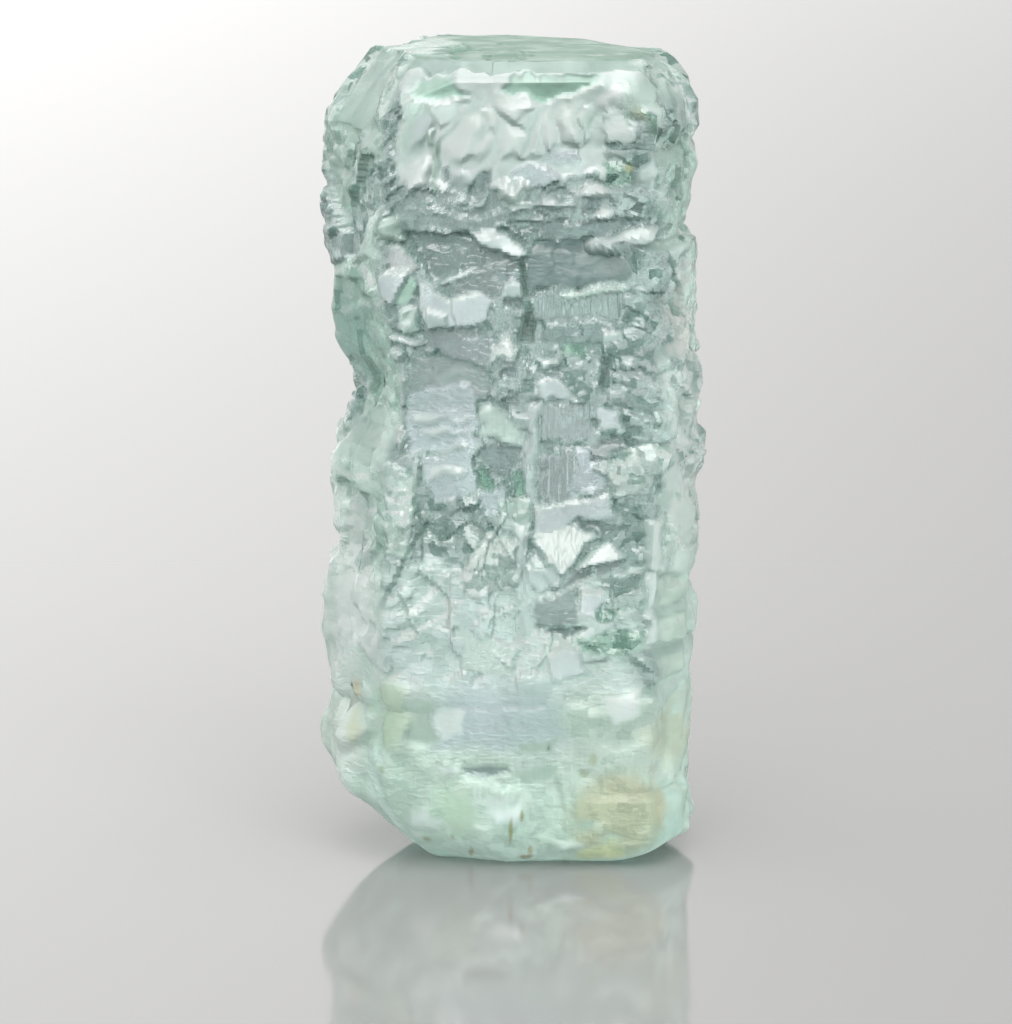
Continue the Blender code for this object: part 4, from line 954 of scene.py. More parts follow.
# %% Which look each point starts with
CLEAR_SIDE = ("mint_clump", "green_craggy", "pale_mint", "clump", "mint_clump", "mint_plate")
MILKY_SIDE = ("mint_milk", "mint_clump", "pale_mint", "mint_milk", "white_clump", "mint_stipple")
MILKY_UP = (19.0, 27.0)
CALM_BEHIND = 0.55
MOST_CRUST = 0.8


def looks_of(names):
    """The rows of LOOKS for a list of names."""
    return np.array([LOOKS[name] for name in names])


def bevel_of(normal):
    """1 on the clean bevel along the top of the front, 0 away from it."""
    return smoothstep(0.16, 0.4, normal[..., 2]) * smoothstep(0.25, 0.5, -normal[..., 1])


def first_looks(up, normal, pick):
    """Clear or milky side looks by block, calmer glass behind, and clean glass on top."""
    clear = looks_of(CLEAR_SIDE)[(pick * len(CLEAR_SIDE)).astype(int) % len(CLEAR_SIDE)]
    milky = looks_of(MILKY_SIDE)[(pick * len(MILKY_SIDE)).astype(int) % len(MILKY_SIDE)]
    milk = (1.0 - smoothstep(*MILKY_UP, up))[..., None]
    looks = clear * (1.0 - milk) + milky * milk
    behind = smoothstep(0.2, 0.7, normal[..., 1])[..., None]
    calm = looks_of(["calm_back"])[0]
    looks = looks * (1.0 - CALM_BEHIND * behind) + calm * CALM_BEHIND * behind
    bevel = bevel_of(normal)[..., None]
    looks = looks * (1.0 - bevel) + looks_of(["bevel"])[0] * bevel
    flat_top = smoothstep(0.85, 0.97, normal[..., 2])[..., None]
    worn = smoothstep(0.25, 0.5, normal[..., 2])[..., None]
    crust = MOST_CRUST * worn * (1.0 - bevel) * (1.0 - flat_top)
    looks = looks * (1.0 - crust) + looks_of(["crust"])[0] * crust
    return looks * (1.0 - flat_top) + looks_of(["top_glass"])[0] * flat_top


print(len(CLEAR_SIDE), "clear and", len(MILKY_SIDE), "milky looks round the sides")

# %% [markdown]
# ## Laying the plates
#
# On the real face a plate ends in a worn, slightly ragged edge: crisp round a window, wide and
# soft in the milky foot. Booleans would give every plate the same hard rim. So each point is
# measured in from the nearest side of the outline, after it has wandered a little by chance,
# and the plate fades in over the width of its edge. Most of the chance relief goes where a
# clean plate lies, and most of it stays under a clump or a milky plate.

# %% Edge widths, wander and what relief is kept
PLATE_EDGE = 0.34
CRISP_EDGE = 0.28
SOFT_EDGE = 0.9
MILK_EDGE = 2.2
WANDER = 0.32
CRISP_WANDER = 0.16
ROUGH_KEPT = 0.8
MILK_KEPT = 0.8
SMOOTH_KEPT = 0.12


def inside_of(x, y, corners):
    """Distance in from the nearest side of a convex outline, negative outside it."""
    turn = 0.0
    for (x0, y0), (x1, y1) in zip(corners, corners[1:] + corners[:1]):
        turn += x0 * y1 - x1 * y0
    inside = np.full(x.shape, 1e9)
    for (x0, y0), (x1, y1) in zip(corners, corners[1:] + corners[:1]):
        length = math.hypot(x1 - x0, y1 - y0)
        away = ((x1 - x0) * (y - y0) - (y1 - y0) * (x - x0)) / length
        inside = np.minimum(inside, away if turn > 0.0 else -away)
    return inside


def ragged(along, up, reach, seed):
    """How far an outline wanders across and up, in millimetres."""
    across = noise(along, up, 1.5, 1.1, seed) + 0.6 * noise(along, up, 0.7, 0.6, seed + 1)
    climb = noise(along, up, 1.3, 1.2, seed + 2) + 0.6 * noise(along, up, 0.6, 0.7, seed + 3)
    return reach * across, reach * climb


def edge_of(look):
    """Edge width and wander of a plate, by the kind of look that its name ends with."""
    if look.endswith(("plate", "cleft", "window")):
        return CRISP_EDGE, CRISP_WANDER
    if look.endswith(("soft", "mint")):
        return SOFT_EDGE, WANDER
    if look.startswith("milk") or look.endswith("milk"):
        return MILK_EDGE, WANDER
    return PLATE_EDGE, WANDER


def kept_under(look):
    """How much of the relief stays under a plate."""
    if look.endswith("milk"):
        return MILK_KEPT
    return ROUGH_KEPT if look.endswith("clump") else SMOOTH_KEPT


def lay_plates(x, y, height, looks, plates, share, wander):
    """Covers the relief and the looks with each plate in turn, where share lets it."""
    for _, look, level, lean_x, lean_y, corners in plates:
        edge, reach = edge_of(look)
        inside = inside_of(x + reach * wander[0], y + reach * wander[1], corners)
        cover = share * smoothstep(-0.3 * edge, 0.7 * edge, inside)
        middle_x = sum(corner[0] for corner in corners) / len(corners)
        middle_y = sum(corner[1] for corner in corners) / len(corners)
        plane = level + lean_x * (x - middle_x) + lean_y * (y - middle_y)
        height = height * (1.0 - cover * (1.0 - kept_under(look))) + plane * cover
        looks = looks * (1.0 - cover[..., None]) + np.array(LOOKS[look]) * cover[..., None]
    return height, looks


print("plate edges from", CRISP_EDGE, "to", MILK_EDGE, "mm wide")

# %% [markdown]
# ## Worn edges, and painted light and shade by lean
#
# Wear rounds the relief at the sides and in the milk, so there the height is averaged with its neighbours.
# Then light and shade are painted into the tint, by how far each point leans away from the smooth body. What
# leans up or to the left gets a painted highlight. What overhangs gets a painted shade that turns it darker
# and greener.

# %% Softening, and painted light and shade by lean
UP_SHADE = 0.55
LEFT_SHADE = 0.28
SHADE_RANGE = (0.52, 1.3)
SHADE_POWER = (1.08, 0.95, 0.97)


def soften(height, share, passes):
    """Averages the relief with its neighbours, which rounds its edges, where share lets it."""
    for _ in range(passes):
        rows = np.pad(height, ((1, 1), (0, 0)), mode="edge")
        mean = (2.0 * height + rows[:-2] + rows[2:]) / 4.0
        mean = (2.0 * mean + np.roll(mean, 1, axis=1) + np.roll(mean, -1, axis=1)) / 4.0
        height = height + share * (mean - height)
    return height


def paint_light_by_lean(points, normal, looks, milk):
    """Paints light and shade into the tint: brightens what leans up or to the left and dims what overhangs,
    with dark turning greener.
    """
    lean = outward(points) - normal
    facing = np.clip(-normal[..., 1], 0.0, 1.0)
    shade = 1.0 + UP_SHADE * lean[..., 2] - LEFT_SHADE * lean[..., 0] * facing
    shade = 1.0 + (np.clip(shade, *SHADE_RANGE) - 1.0) * (1.0 - 0.5 * milk)
    shade = shade[..., None]
    looks[..., :3] = np.clip(looks[..., :3] * shade ** np.array(SHADE_POWER), 0.0, 1.0)
    return looks


print("tint times", SHADE_RANGE[0], "to", SHADE_RANGE[1], "by lean")

# %% [markdown]
# ## Staining the surface
#
# A stain has no outline of its own. It is strongest in the middle of its ellipsoid and fades
# towards the skin of it, and it wanders a little by chance, so that no two look alike. The
# wander is held back for the large ones, which would otherwise break into holes.

# %% Colour and frost from the stains
STAIN_WANDER = 0.5
MOST_WANDER = 1.6
STAIN_FADE = (0.45, 1.0)


def stain(points, looks, wander):
    """Colours and frosts the surface inside each soft ellipsoid."""
    for _, middle, half, strength, frost, colour in STAINS_AND_PAINTED_LIGHT:
        place = points + STAIN_WANDER * min(min(half), MOST_WANDER) * wander[..., None]
        away = np.linalg.norm((place - np.array(middle)) / np.array(half), axis=-1)
        cover = (strength * (1.0 - smoothstep(*STAIN_FADE, away)))[..., None]
        marked = np.array(colour + (frost,))
        looks[..., :4] = looks[..., :4] * (1.0 - cover) + marked * cover
    return looks


print("stains wander up to", STAIN_WANDER * MOST_WANDER, "mm")

# %% [markdown]
# ## The finished grid
#
# Now the steps are put in order: chance relief all round, the plates in front and on top, the chips that
# each look asks for, then softening, painted light and shade by lean, and stains. Milk rises from the foot
# and calms all of it. Near the flat base the relief fades out, so that the crystal rests flat.

# %% Relief and look of every point
BACK_CALM = 0.15
BEVEL_CALM = 0.92
TOP_WANDER = 3.0
POLE_CLEAR = (1.2, 3.2)
MILK_TOP = (9.0, 19.0)
SIDE_MILK = 7.0
MILK_CALM = 0.45
MILK_FROST = 0.12
HIGH_LEDGES = (0.3, 1.7)
SWELL = 0.04
FOOT_FADE = (0.2, 2.0)


def chance_relief(along, up, calm):
    """Blocks, facets and ledges, where calm lets them, and the number that each block keeps."""
    blocks, pick = facets(along, up, BLOCKS)
    height = blocks + facets(along, up, FACETS)[0]
    height = height + LEDGE_DEPTH * 0.5 * (ledges(along, up, LEDGE_PITCH) - 0.5)
    for share in calm:
        height = height * (1.0 - share)
    return height, pick


def chipped(height, looks, along, up, flat_top):
    """Adds the chips that each look asks for, and a slow swell, away from the flat top."""
    chips = facets(along, up, CHIPS)[0]
    swell = SWELL * noise(along, up, 1.8, 2.4, 7)
    return height + (looks[..., 4] * chips + swell) * (1.0 - flat_top)


def crystal_grid(columns, rings):
    """The smooth body pushed along its normals by the relief, and the look of every point."""
    body, up = smooth_body(columns, rings)
    along = np.arctan2(body[..., 1], body[..., 0]) * GIRTH / (2.0 * math.pi)
    normal = outward(body)
    x, y, z = body[..., 0], body[..., 1], body[..., 2]
    front = smoothstep(0.35, 0.8, -normal[..., 1])
    behind = smoothstep(0.2, 0.7, normal[..., 1])
    flat_top = smoothstep(0.8, 0.97, normal[..., 2])

    calm = (flat_top, BACK_CALM * behind, BEVEL_CALM * bevel_of(normal))
    height, pick = chance_relief(along, up, calm)
    looks = first_looks(up, normal, pick)
    wander = np.stack(ragged(along, up, 1.0, 201))
    height, looks = lay_plates(x, z, height, looks, FRONT_PLATES, front, wander)
    wander_top = TOP_WANDER * np.stack(ragged(x, y, 1.0, 301))
    off_pole = smoothstep(*POLE_CLEAR, np.hypot(x, y))
    height, looks = lay_plates(x, y, height, looks, TOP_PLATES, flat_top * off_pole, wander_top)

    depth, pitch = HIGH_LEDGES
    ledge_field = front * smoothstep(44.5, 46.0, z) * (1.0 - smoothstep(49.5, 51.0, z))
    height = height + depth * ledge_field * (ledges(along, up, pitch) - 0.5)
    milk = 1.0 - smoothstep(*MILK_TOP, z - SIDE_MILK * (1.0 - front))
    looks[..., 4] = looks[..., 4] * (1.0 - MILK_CALM * milk)
    looks[..., 3] = looks[..., 3] + MILK_FROST * milk
    height = chipped(height, looks, along, up, flat_top) * smoothstep(*FOOT_FADE, z)
    worn = 0.4 * (1.0 - front) * (1.0 - 0.7 * behind) + 0.8 * milk
    height = soften(height, np.clip(worn, 0.0, 1.0), 2) * (1.0 - 0.3 * milk)
    points = body + normal * height[..., None]
    points[..., 2] = np.clip(points[..., 2], 0.0, None)
    return points, stain(points, paint_light_by_lean(points, normal, looks, milk), wander[0])


print("milk rises to", MILK_TOP[1], "mm in front and", MILK_TOP[1] + SIDE_MILK, "mm at the sides")

# %% [markdown]
# ## From a grid to a closed mesh
#
# Glass needs a closed skin, because the renderer has to know what is inside. The rings close on
# themselves, and one point in the middle of the base and one on top close the two ends. Faces
# that turn by less than the crease angle are shaded smooth, and sharper edges stay crisp.

# %% Make the crystal's mesh
COLUMNS = 324
RINGS = (4, 16, 246, 18, 18)
CREASE = math.radians(24.0)


def closed_mesh(name, grid):
    """Quads between neighbouring rings, and a fan of triangles at each end."""
    rings, columns = grid.shape[:2]
    poles = np.array(((0.0, 0.0, grid[0, :, 2].mean()), (0.0, 0.0, grid[-1, :, 2].mean())))
    points = np.concatenate((grid.reshape(-1, 3), poles * (0.0, 0.0, 1.0)))
    index = np.arange(rings * columns).reshape(rings, columns)
    beside = np.roll(index, -1, axis=1)
    quads = np.stack((index[:-1], beside[:-1], beside[1:], index[1:]), -1).reshape(-1, 4)
    low = rings * columns
    base = np.stack((beside[0], index[0], np.full(columns, low)), -1)
    top = np.stack((index[-1], beside[-1], np.full(columns, low + 1)), -1)
    loops = np.concatenate((quads.ravel(), base.ravel(), top.ravel()))
    starts = np.concatenate(
        (np.arange(len(quads)) * 4, quads.size + np.arange(2 * columns) * 3)
    )
    mesh = bpy.data.meshes.new(name)
    mesh.vertices.add(len(points))
    mesh.vertices.foreach_set("co", (points * MM).astype(np.float32).ravel())
    mesh.loops.add(len(loops))
    mesh.loops.foreach_set("vertex_index", loops.astype(np.int32))
    mesh.polygons.add(len(starts))
    mesh.polygons.foreach_set("loop_start", starts.astype(np.int32))
    mesh.update(calc_edges=True)
    mesh.validate()
    mesh.polygons.foreach_set("use_smooth", np.ones(len(mesh.polygons), bool))
    mesh.set_sharp_from_angle(angle=CREASE)
    return mesh


print(COLUMNS, "columns,", sum(RINGS), "steps from the base to the top")

# %% [markdown]
# ## Place the crystal on its imported solid
#
# The grid was made round its own axis. The imported solid says where the crystal stands, so the middle of
# the grid and its base are moved onto the solid's. Then the solid is hidden and the skin rides on its body
# in its place.

# %% Place the crystal
grid, looks = crystal_grid(COLUMNS, RINGS)
low, high = grid.min(axis=(0, 1)), grid.max(axis=(0, 1))
centre = np.array(((low[0] + high[0]) / 2.0, (low[1] + high[1]) / 2.0, low[2]))
node_low, node_high = [np.array(c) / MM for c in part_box("aquamarine_crystal")]
place = np.array(((node_low[0] + node_high[0]) / 2, (node_low[1] + node_high[1]) / 2, node_low[2]))
grid = grid - centre + place
SHIFT = (place - centre) * MM
print("crystal", np.round(high - low, 2), "mm; solid", np.round(node_high - node_low, 2), "mm")
crystal = bpy.data.objects.new("crystal_skin", closed_mesh("crystal_skin", grid))
bpy.context.collection.objects.link(crystal)
print(len(crystal.data.polygons), "faces")
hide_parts("aquamarine_crystal")
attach(crystal, "root")

# %% [markdown]
# ## Looks kept on the mesh
#
# The shader has to know what the relief knew: the tint, the frost and how much etching each
# point carries. A texture would need an unwrapped mesh. Numbers kept on the points themselves
# need none, because the mesh is fine enough to carry them.

# %% Keep each point's look on the mesh
def keep_looks(mesh, looks):
    """Tint, with its painted light and shade, as a colour attribute, the rest of the look as numbers, the
    two ends included.
    """
    rows = np.concatenate((looks.reshape(-1, 7), looks[:1].mean(1), looks[-1:].mean(1)))
    tint = mesh.attributes.new("tint", "FLOAT_COLOR", "POINT")
    colour = np.concatenate((rows[:, :3], np.ones((len(rows), 1))), axis=1)
    tint.data.foreach_set("color", colour.astype(np.float32).ravel())
    for column, name in ((3, "frost"), (4, "chips"), (5, "stipple"), (6, "striae")):
        layer = mesh.attributes.new(name, "FLOAT", "POINT")
        layer.data.foreach_set("value", rows[:, column].astype(np.float32).copy())


keep_looks(crystal.data, looks)
print("mean tint", np.round(looks[..., :3].mean((0, 1)), 2))

# %% [markdown]
# ## Nodes in a few words
#
# A shader is a tree of nodes joined by wires. Built by hand in the editor it is hard to repeat,
# and built in Python it takes many lines. A few short helpers keep each step to one line: make
# a node, wire it, map one range to another, do arithmetic, and open an empty group.

# %% Small helpers for nodes
def new_node(tree, kind, **values):
    """A node with some of its settings."""
    node = tree.nodes.new(kind)
    for key, value in values.items():
        setattr(node, key, value)
    return node


def wire(tree, source, target):
    """Joins an output to an input."""
    tree.links.new(source, target)


def mapped(tree, value, low, high, out_low, out_high):
    """A smooth change from one pair of values to another."""
    node = new_node(tree, "ShaderNodeMapRange", interpolation_type="SMOOTHSTEP")
    wire(tree, value, node.inputs["Value"])
    for key, number in zip(("From Min", "From Max", "To Min", "To Max"), (low, high, out_low, out_high)):
        node.inputs[key].default_value = number
    return node.outputs["Result"]


def math_node(tree, operation, first, second):
    """Arithmetic on two sockets or numbers."""
    node = new_node(tree, "ShaderNodeMath", operation=operation)
    for socket, value in zip(node.inputs, (first, second)):
        if isinstance(value, (int, float)):
            socket.default_value = value
        else:
            wire(tree, value, socket)
    return node.outputs["Value"]


def group_sockets(name, takes, gives):
    """An empty shader group with its inputs and outputs."""
    group = bpy.data.node_groups.new(name, "ShaderNodeTree")
    for socket, kind in takes:
        group.interface.new_socket(socket, in_out="INPUT", socket_type=kind)
    for socket, kind in gives:
        group.interface.new_socket(socket, in_out="OUTPUT", socket_type=kind)
    return group, new_node(group, "NodeGroupInput"), new_node(group, "NodeGroupOutput")


WHITE = (1.0, 1.0, 1.0, 1.0)
print("helpers: new_node, wire, mapped, math_node, group_sockets")

# %% [markdown]
# ## Etch group: pits, striae and folds
#
# Under a lens the etching goes on, finer than any mesh: stippled pits, upright striae and soft
# folds. Noise can give all three when its space is stretched: wide flat cells for pits, tall
# thin ones for striae and larger ones for folds. They are added up as one height, which the
# material turns into a bump.

# %% Etch group: cells per metre across, deep and up
PIT_CELLS = (1500.0, 1500.0, 3600.0)
STRIA_CELLS = (3200.0, 3200.0, 260.0)
FOLD_CELLS = (760.0, 760.0, 560.0)
FOLD_HEIGHT = 2.2


def scaled_noise(tree, where, scale, detail):
    """Noise in a space that is stretched by `scale` along each axis, in cells per metre."""
    stretch = new_node(tree, "ShaderNodeMapping")
    stretch.inputs["Scale"].default_value = scale
    wire(tree, where, stretch.inputs["Vector"])
    cloud = new_node(tree, "ShaderNodeTexNoise")
    cloud.inputs["Scale"].default_value = 1.0
    cloud.inputs["Detail"].default_value = detail
    wire(tree, stretch.outputs["Vector"], cloud.inputs["Vector"])
    return cloud.outputs["Fac"]


def etch_group():
    """Height of the fine etching: wide flat pits, upright striae and small folds."""
    group, given, result = group_sockets(
        "etch",
        (("Stipple", "NodeSocketFloat"), ("Striae", "NodeSocketFloat")),
        (("Height", "NodeSocketFloat"),),
    )
    place = new_node(group, "ShaderNodeTexCoord").outputs["Object"]
    pits = mapped(group, scaled_noise(group, place, PIT_CELLS, 0.0), 0.42, 0.62, 0.0, 1.0)
    lines = mapped(group, scaled_noise(group, place, STRIA_CELLS, 0.0), 0.35, 0.65, 0.0, 1.0)
    total = math_node(group, "MULTIPLY", pits, given.outputs["Stipple"])
    lines = math_node(group, "MULTIPLY", lines, given.outputs["Striae"])
    total = math_node(group, "ADD", total, lines)
    folds = scaled_noise(group, place, FOLD_CELLS, 1.0)
    total = math_node(group, "ADD", total, math_node(group, "MULTIPLY", folds, FOLD_HEIGHT))
    wire(group, total, result.inputs["Height"])
    return group


etching = etch_group()
print("group", etching.name, "has", len(etching.nodes), "nodes")

# %% [markdown]
# ## Facet group: little chips
#
# In a clump the facets go down to a fraction of a millimetre. A Voronoi texture whose distance is measured
# in squares gives blocky cells, and each cell's chance colour is taken as a tilt, so that every cell becomes
# a small plane with a lean of its own. Cells are also dimmed by chance. This is a painted shade that stands
# in for facets which lean away from the light and show the dark inside.

# %% Facet group: cells per metre, height, and the tint of the painted shade on a dark facet
FACET_CELLS = (1000.0, 1000.0, 1300.0)
FACET_HEIGHT = 5.0
DARK_SPAN = (0.35, 0.95)
MOST_DARK = 1.05
DARK_POWER = 1.8
FACET_SHADE_TINT = (0.30, 0.43, 0.40, 1.0)


def facet_layer(tree, place, scale):
    """Each cell is a plane with a tilt of its own; gives its height and the cell's chance value for the
    painted shade.
    """
    stretch = new_node(tree, "ShaderNodeMapping")
    stretch.inputs["Scale"].default_value = scale
    wire(tree, place, stretch.inputs["Vector"])
    cells = new_node(tree, "ShaderNodeTexVoronoi", distance="CHEBYCHEV")
    cells.inputs["Scale"].default_value = 1.0
    wire(tree, stretch.outputs["Vector"], cells.inputs["Vector"])
    offset = new_node(tree, "ShaderNodeVectorMath", operation="SUBTRACT")
    wire(tree, stretch.outputs["Vector"], offset.inputs[0])
    wire(tree, cells.outputs["Position"], offset.inputs[1])
    tilt = new_node(tree, "ShaderNodeVectorMath", operation="SUBTRACT")
    wire(tree, cells.outputs["Color"], tilt.inputs[0])
    tilt.inputs[1].default_value = (0.5, 0.5, 0.5)
    plane = new_node(tree, "ShaderNodeVectorMath", operation="DOT_PRODUCT")
    wire(tree, offset.outputs["Vector"], plane.inputs[0])
    wire(tree, tilt.outputs["Vector"], plane.inputs[1])
    shade = new_node(tree, "ShaderNodeSeparateColor")
    wire(tree, cells.outputs["Color"], shade.inputs["Color"])
    return plane.outputs["Value"], shade.outputs["Red"]


def facet_group():
    """Little facets as a height and as a painted shade that dims the tint."""
    group, given, result = group_sockets(
        "facet",
        (("Chips", "NodeSocketFloat"),),
        (("Height", "NodeSocketFloat"), ("Shade", "NodeSocketColor")),
    )
    place = new_node(group, "ShaderNodeTexCoord").outputs["Object"]
    plane, chance = facet_layer(group, place, FACET_CELLS)
    height = math_node(group, "MULTIPLY", plane, FACET_HEIGHT)
    wire(group, math_node(group, "MULTIPLY", height, given.outputs["Chips"]), result.inputs["Height"])
    # painted shade: chance cells are dimmed toward the shade tint of a dark facet
    dark = mapped(group, chance, *DARK_SPAN, 0.0, MOST_DARK)
    crowded = math_node(group, "POWER", given.outputs["Chips"], DARK_POWER)
    shade = new_node(group, "ShaderNodeMix", data_type="RGBA")
    wire(group, math_node(group, "MULTIPLY", dark, crowded), shade.inputs["Factor"])
    shade.inputs["A"].default_value = WHITE
    shade.inputs["B"].default_value = FACET_SHADE_TINT
    wire(group, shade.outputs["Result"], result.inputs["Shade"])
    return group


chipping = facet_group()
print("group", chipping.name, "has", len(chipping.nodes), "nodes")

# %% [markdown]
# ## Cloud group: inclusions
#
# Veils of fluid inclusions make the clear beryl a little uneven. They could be modelled inside
# it, but so thin a veil would need its own skin and many more bounces of light. Here they only
# mottle the tint and the frost: one slow noise dims and clears, a slower one adds some green.

# %% Cloud group: cells per metre and how much they change
CLOUD_CELLS = (420.0, 420.0, 300.0)
PATCH_CELLS = (230.0, 230.0, 160.0)
CLOUD_SPAN = (0.3, 0.7)
PATCH_GREEN = (0.90, 0.95, 0.92, 1.0)
LEAST_FROST = 0.01


def times(tree, first, second):
    """Two colours multiplied."""
    product = new_node(tree, "ShaderNodeVectorMath", operation="MULTIPLY")
    wire(tree, first, product.inputs[0])
    wire(tree, second, product.inputs[1])
    return product.outputs["Vector"]


def cloud_group():
    """Mottles the tint and the frost the way fluid inclusions do, and multiplies in the painted shade of the
    facets.
    """
    group, given, result = group_sockets(
        "cloud",
        (("Tint", "NodeSocketColor"), ("Frost", "NodeSocketFloat"), ("Shade", "NodeSocketColor")),
        (("Tint", "NodeSocketColor"), ("Frost", "NodeSocketFloat")),
    )
    place = new_node(group, "ShaderNodeTexCoord").outputs["Object"]
    cloud = scaled_noise(group, place, CLOUD_CELLS, 1.0)
    patch = mapped(group, scaled_noise(group, place, PATCH_CELLS, 1.0), 0.38, 0.62, 0.0, 1.0)
    green = new_node(group, "ShaderNodeMix", data_type="RGBA")
    wire(group, patch, green.inputs["Factor"])
    green.inputs["A"].default_value = WHITE
    green.inputs["B"].default_value = PATCH_GREEN
    # the facets' painted shade darkens the tint here
    shaded = times(group, given.outputs["Tint"], given.outputs["Shade"])
    mottled = new_node(group, "ShaderNodeVectorMath", operation="SCALE")
    wire(group, times(group, shaded, green.outputs["Result"]), mottled.inputs[0])
    wire(group, mapped(group, cloud, *CLOUD_SPAN, 0.9, 1.0), mottled.inputs["Scale"])
    wire(group, mottled.outputs["Vector"], result.inputs["Tint"])
    frosted = mapped(group, cloud, *CLOUD_SPAN, 1.2, 0.8)
    frost = math_node(group, "MULTIPLY", given.outputs["Frost"], frosted)
    wire(group, math_node(group, "ADD", frost, LEAST_FROST), result.inputs["Frost"])
    return group


clouding = cloud_group()
print("group", clouding.name, "has", len(clouding.nodes), "nodes")

# %% [markdown]
# ## Beryl as a material
#
# Aquamarine is clear, so the shader transmits light, bends it by beryl's index of refraction and
# takes a little red out of it along the way, which is the pale blue-green of the stone. About a
# quarter of the light is scattered at the skin instead, because the etched and milky surface
# isn't clear. The groups above give the tint, the frost and the bump.

# %% Beryl shader
CLEAR_SHARE = 0.75
BERYL_IOR = 1.577
ETCH_DEPTH = 0.00006
BODY_COLOUR = (0.50, 0.84, 0.79, 1.0)
BODY_DENSITY = 14.0


def attribute(tree, name, output):
    """A value that the mesh carries."""
    return new_node(tree, "ShaderNodeAttribute", attribute_name=name).outputs[output]


def use_group(tree, group, **links):
    """A copy of a group in a material, with its inputs wired."""
    node = new_node(tree, "ShaderNodeGroup", node_tree=group)
    for name, source in links.items():
        wire(tree, source, node.inputs[name])
    return node


beryl = bpy.data.materials.new("beryl")
beryl.use_nodes = True
tree = beryl.node_tree
shader = tree.nodes["Principled BSDF"]
shader.inputs["Transmission Weight"].default_value = CLEAR_SHARE
shader.inputs["IOR"].default_value = BERYL_IOR
facet = use_group(tree, chipping, Chips=attribute(tree, "chips", "Fac"))
cloud = use_group(
    tree,
    clouding,
    Tint=attribute(tree, "tint", "Color"),
    Frost=attribute(tree, "frost", "Fac"),
    Shade=facet.outputs["Shade"],
)
wire(tree, cloud.outputs["Tint"], shader.inputs["Base Color"])
wire(tree, cloud.outputs["Frost"], shader.inputs["Roughness"])
etch = use_group(
    tree, etching, Stipple=attribute(tree, "stipple", "Fac"), Striae=attribute(tree, "striae", "Fac")
)
bump = new_node(tree, "ShaderNodeBump")
bump.inputs["Strength"].default_value = 1.0
bump.inputs["Distance"].default_value = ETCH_DEPTH
carved = math_node(tree, "ADD", etch.outputs["Height"], facet.outputs["Height"])
wire(tree, carved, bump.inputs["Height"])
wire(tree, bump.outputs["Normal"], shader.inputs["Normal"])
absorption = new_node(tree, "ShaderNodeVolumeAbsorption")
absorption.inputs["Color"].default_value = BODY_COLOUR
absorption.inputs["Density"].default_value = BODY_DENSITY
wire(tree, absorption.outputs["Volume"], tree.nodes["Material Output"].inputs["Volume"])
crystal.data.materials.append(beryl)
print("beryl bends light by", BERYL_IOR, "and has", len(tree.nodes), "nodes")

# %% [markdown]
# ## A polished floor
#
# The crystal stands on a dark polished sheet, which gives it a soft reflection to rest on. A
# single large square is enough, because its edge is far outside the picture.

# %% Floor
FLOOR_HALF = 1.5
FLOOR_GREY = (0.20, 0.20, 0.196, 1.0)
FLOOR_ROUGHNESS = 0.08
floor_mesh = bpy.data.meshes.new("floor")
floor_corners = [
    (-FLOOR_HALF, -FLOOR_HALF, 0),
    (FLOOR_HALF, -FLOOR_HALF, 0),
    (FLOOR_HALF, FLOOR_HALF, 0),
    (-FLOOR_HALF, FLOOR_HALF, 0),
]
floor_mesh.from_pydata(floor_corners, [], [(0, 1, 2, 3)])
floor = bpy.data.objects.new("floor", floor_mesh)
bpy.context.collection.objects.link(floor)
floor_look = bpy.data.materials.new("floor")
floor_look.use_nodes = True
floor_shader = floor_look.node_tree.nodes["Principled BSDF"]
floor_shader.inputs["Base Color"].default_value = FLOOR_GREY
floor_shader.inputs["Roughness"].default_value = FLOOR_ROUGHNESS
floor_mesh.materials.append(floor_look)
print("floor", 2 * FLOOR_HALF, "m wide")

# %% [markdown]
# ## Two softboxes
#
# Clear stone shows its lights as bright shapes, so hard lamps would put white spots on every
# facet. Two large soft rectangles light it instead: one overhead, and a larger one in front that
# fills the plates.

# %% Soft studio light: place, size in metres, power in watts
LIT_POINT = (0, 0, 0.03)


def softbox(name, place, size, power):
    """A large rectangle of light, turned to face the crystal."""
    lamp = bpy.data.lights.new(name, "AREA")
    lamp.shape = "RECTANGLE"
    lamp.size, lamp.size_y = size
    lamp.energy = power
    holder = bpy.data.objects.new(name, lamp)
    holder.location = place
    holder.rotation_euler = (Vector(LIT_POINT) - Vector(place)).to_track_quat("-Z", "Y").to_euler()
    bpy.context.collection.objects.link(holder)
    return holder


softbox("overhead", (0.0, -0.05, 0.45), (0.34, 0.26), 1.5)
softbox("front", (0.05, -0.55, 0.55), (0.75, 0.45), 7.8)
print("lamps", [lamp.name for lamp in bpy.data.lights])

# %% [markdown]
# ## The glow behind
#
# A clear crystal is mostly what stands behind it. A bright paper sweep could be modelled, but
# the world's own colour can do the same work without a mesh: bright low down behind the
# crystal, dimmer above, brighter on the left than on the right, with a little more light from
# the two sides so that the flanks don't turn black.

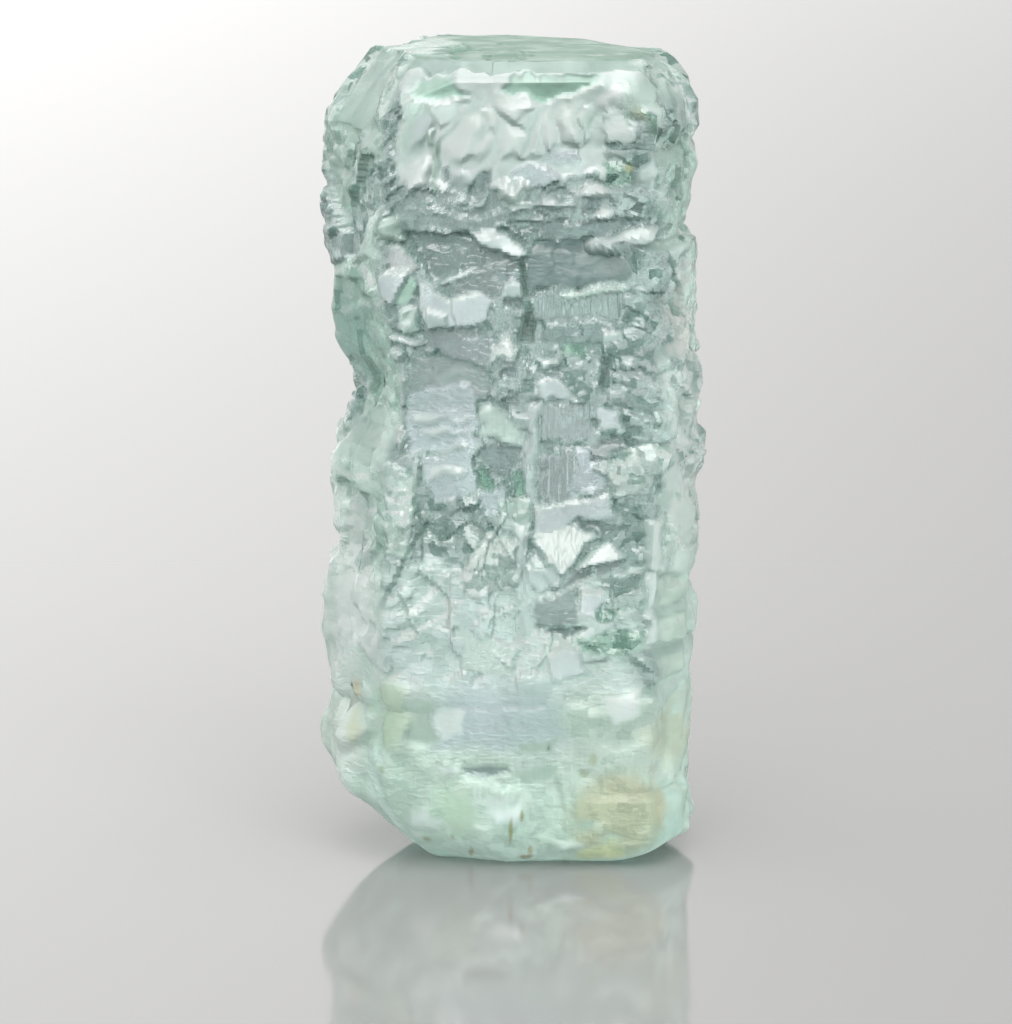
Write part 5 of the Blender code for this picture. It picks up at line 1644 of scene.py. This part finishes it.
# %% World glow by direction
BACK_GLOW = 0.71
BASE_GLOW = 0.66
LEFT_GLOW = 1.38
RIGHT_GLOW = 0.80
SIDE_GLOW = 0.38
PAPER_WHITE = (0.99, 0.985, 0.98, 1.0)
world = bpy.data.worlds.new("studio")
world.use_nodes = True
sky = world.node_tree
aim = new_node(sky, "ShaderNodeTexCoord")
parts = new_node(sky, "ShaderNodeSeparateXYZ")
wire(sky, aim.outputs["Generated"], parts.inputs["Vector"])
behind = mapped(sky, parts.outputs["Y"], -0.6, 0.95, 0.0, 1.0)
low_down = mapped(sky, parts.outputs["Z"], 0.0, 0.45, 1.0, 0.0)
glow = math_node(sky, "MULTIPLY", behind, low_down)
glow = math_node(sky, "MULTIPLY", glow, BACK_GLOW)
glow = math_node(sky, "ADD", glow, BASE_GLOW)
across = mapped(sky, parts.outputs["X"], -0.14, 0.14, LEFT_GLOW, RIGHT_GLOW)
glow = math_node(sky, "MULTIPLY", glow, across)
sideways = math_node(sky, "ABSOLUTE", parts.outputs["X"], 0.0)
glow = math_node(sky, "ADD", glow, mapped(sky, sideways, 0.45, 0.95, 0.0, SIDE_GLOW))
sky.nodes["Background"].inputs["Color"].default_value = PAPER_WHITE
wire(sky, glow, sky.nodes["Background"].inputs["Strength"])
bpy.context.scene.world = world
bpy.context.scene.view_settings.view_transform = "Standard"
print("glow from", BASE_GLOW * RIGHT_GLOW, "up to", (BASE_GLOW + BACK_GLOW) * LEFT_GLOW)

# %% [markdown]
# ## The camera
#
# The camera takes the numbers that the plates were marked with. They are millimetres round the
# crystal's own axis, so it also moves with the crystal onto the solid's place. It is aimed by
# turning its own view direction at the aim point, which saves working out its angles.

# %% Camera
lens = bpy.data.cameras.new("camera")
lens.lens = LENS
lens.sensor_width = SENSOR
lens.sensor_fit = "VERTICAL"
lens.sensor_height = SENSOR
lens.clip_start = 0.01
camera = bpy.data.objects.new("camera", lens)
AIM = Vector((0.0, 0.0, AIM_HEIGHT * MM)) + Vector(SHIFT)
camera.location = AIM + Vector((0.0, EYE_Y * MM, (EYE_Z - AIM_HEIGHT) * MM))
camera.rotation_euler = (AIM - camera.location).to_track_quat("-Z", "Y").to_euler()
bpy.context.collection.objects.link(camera)
bpy.context.scene.camera = camera
print("camera at", np.round(np.array(camera.location), 3))
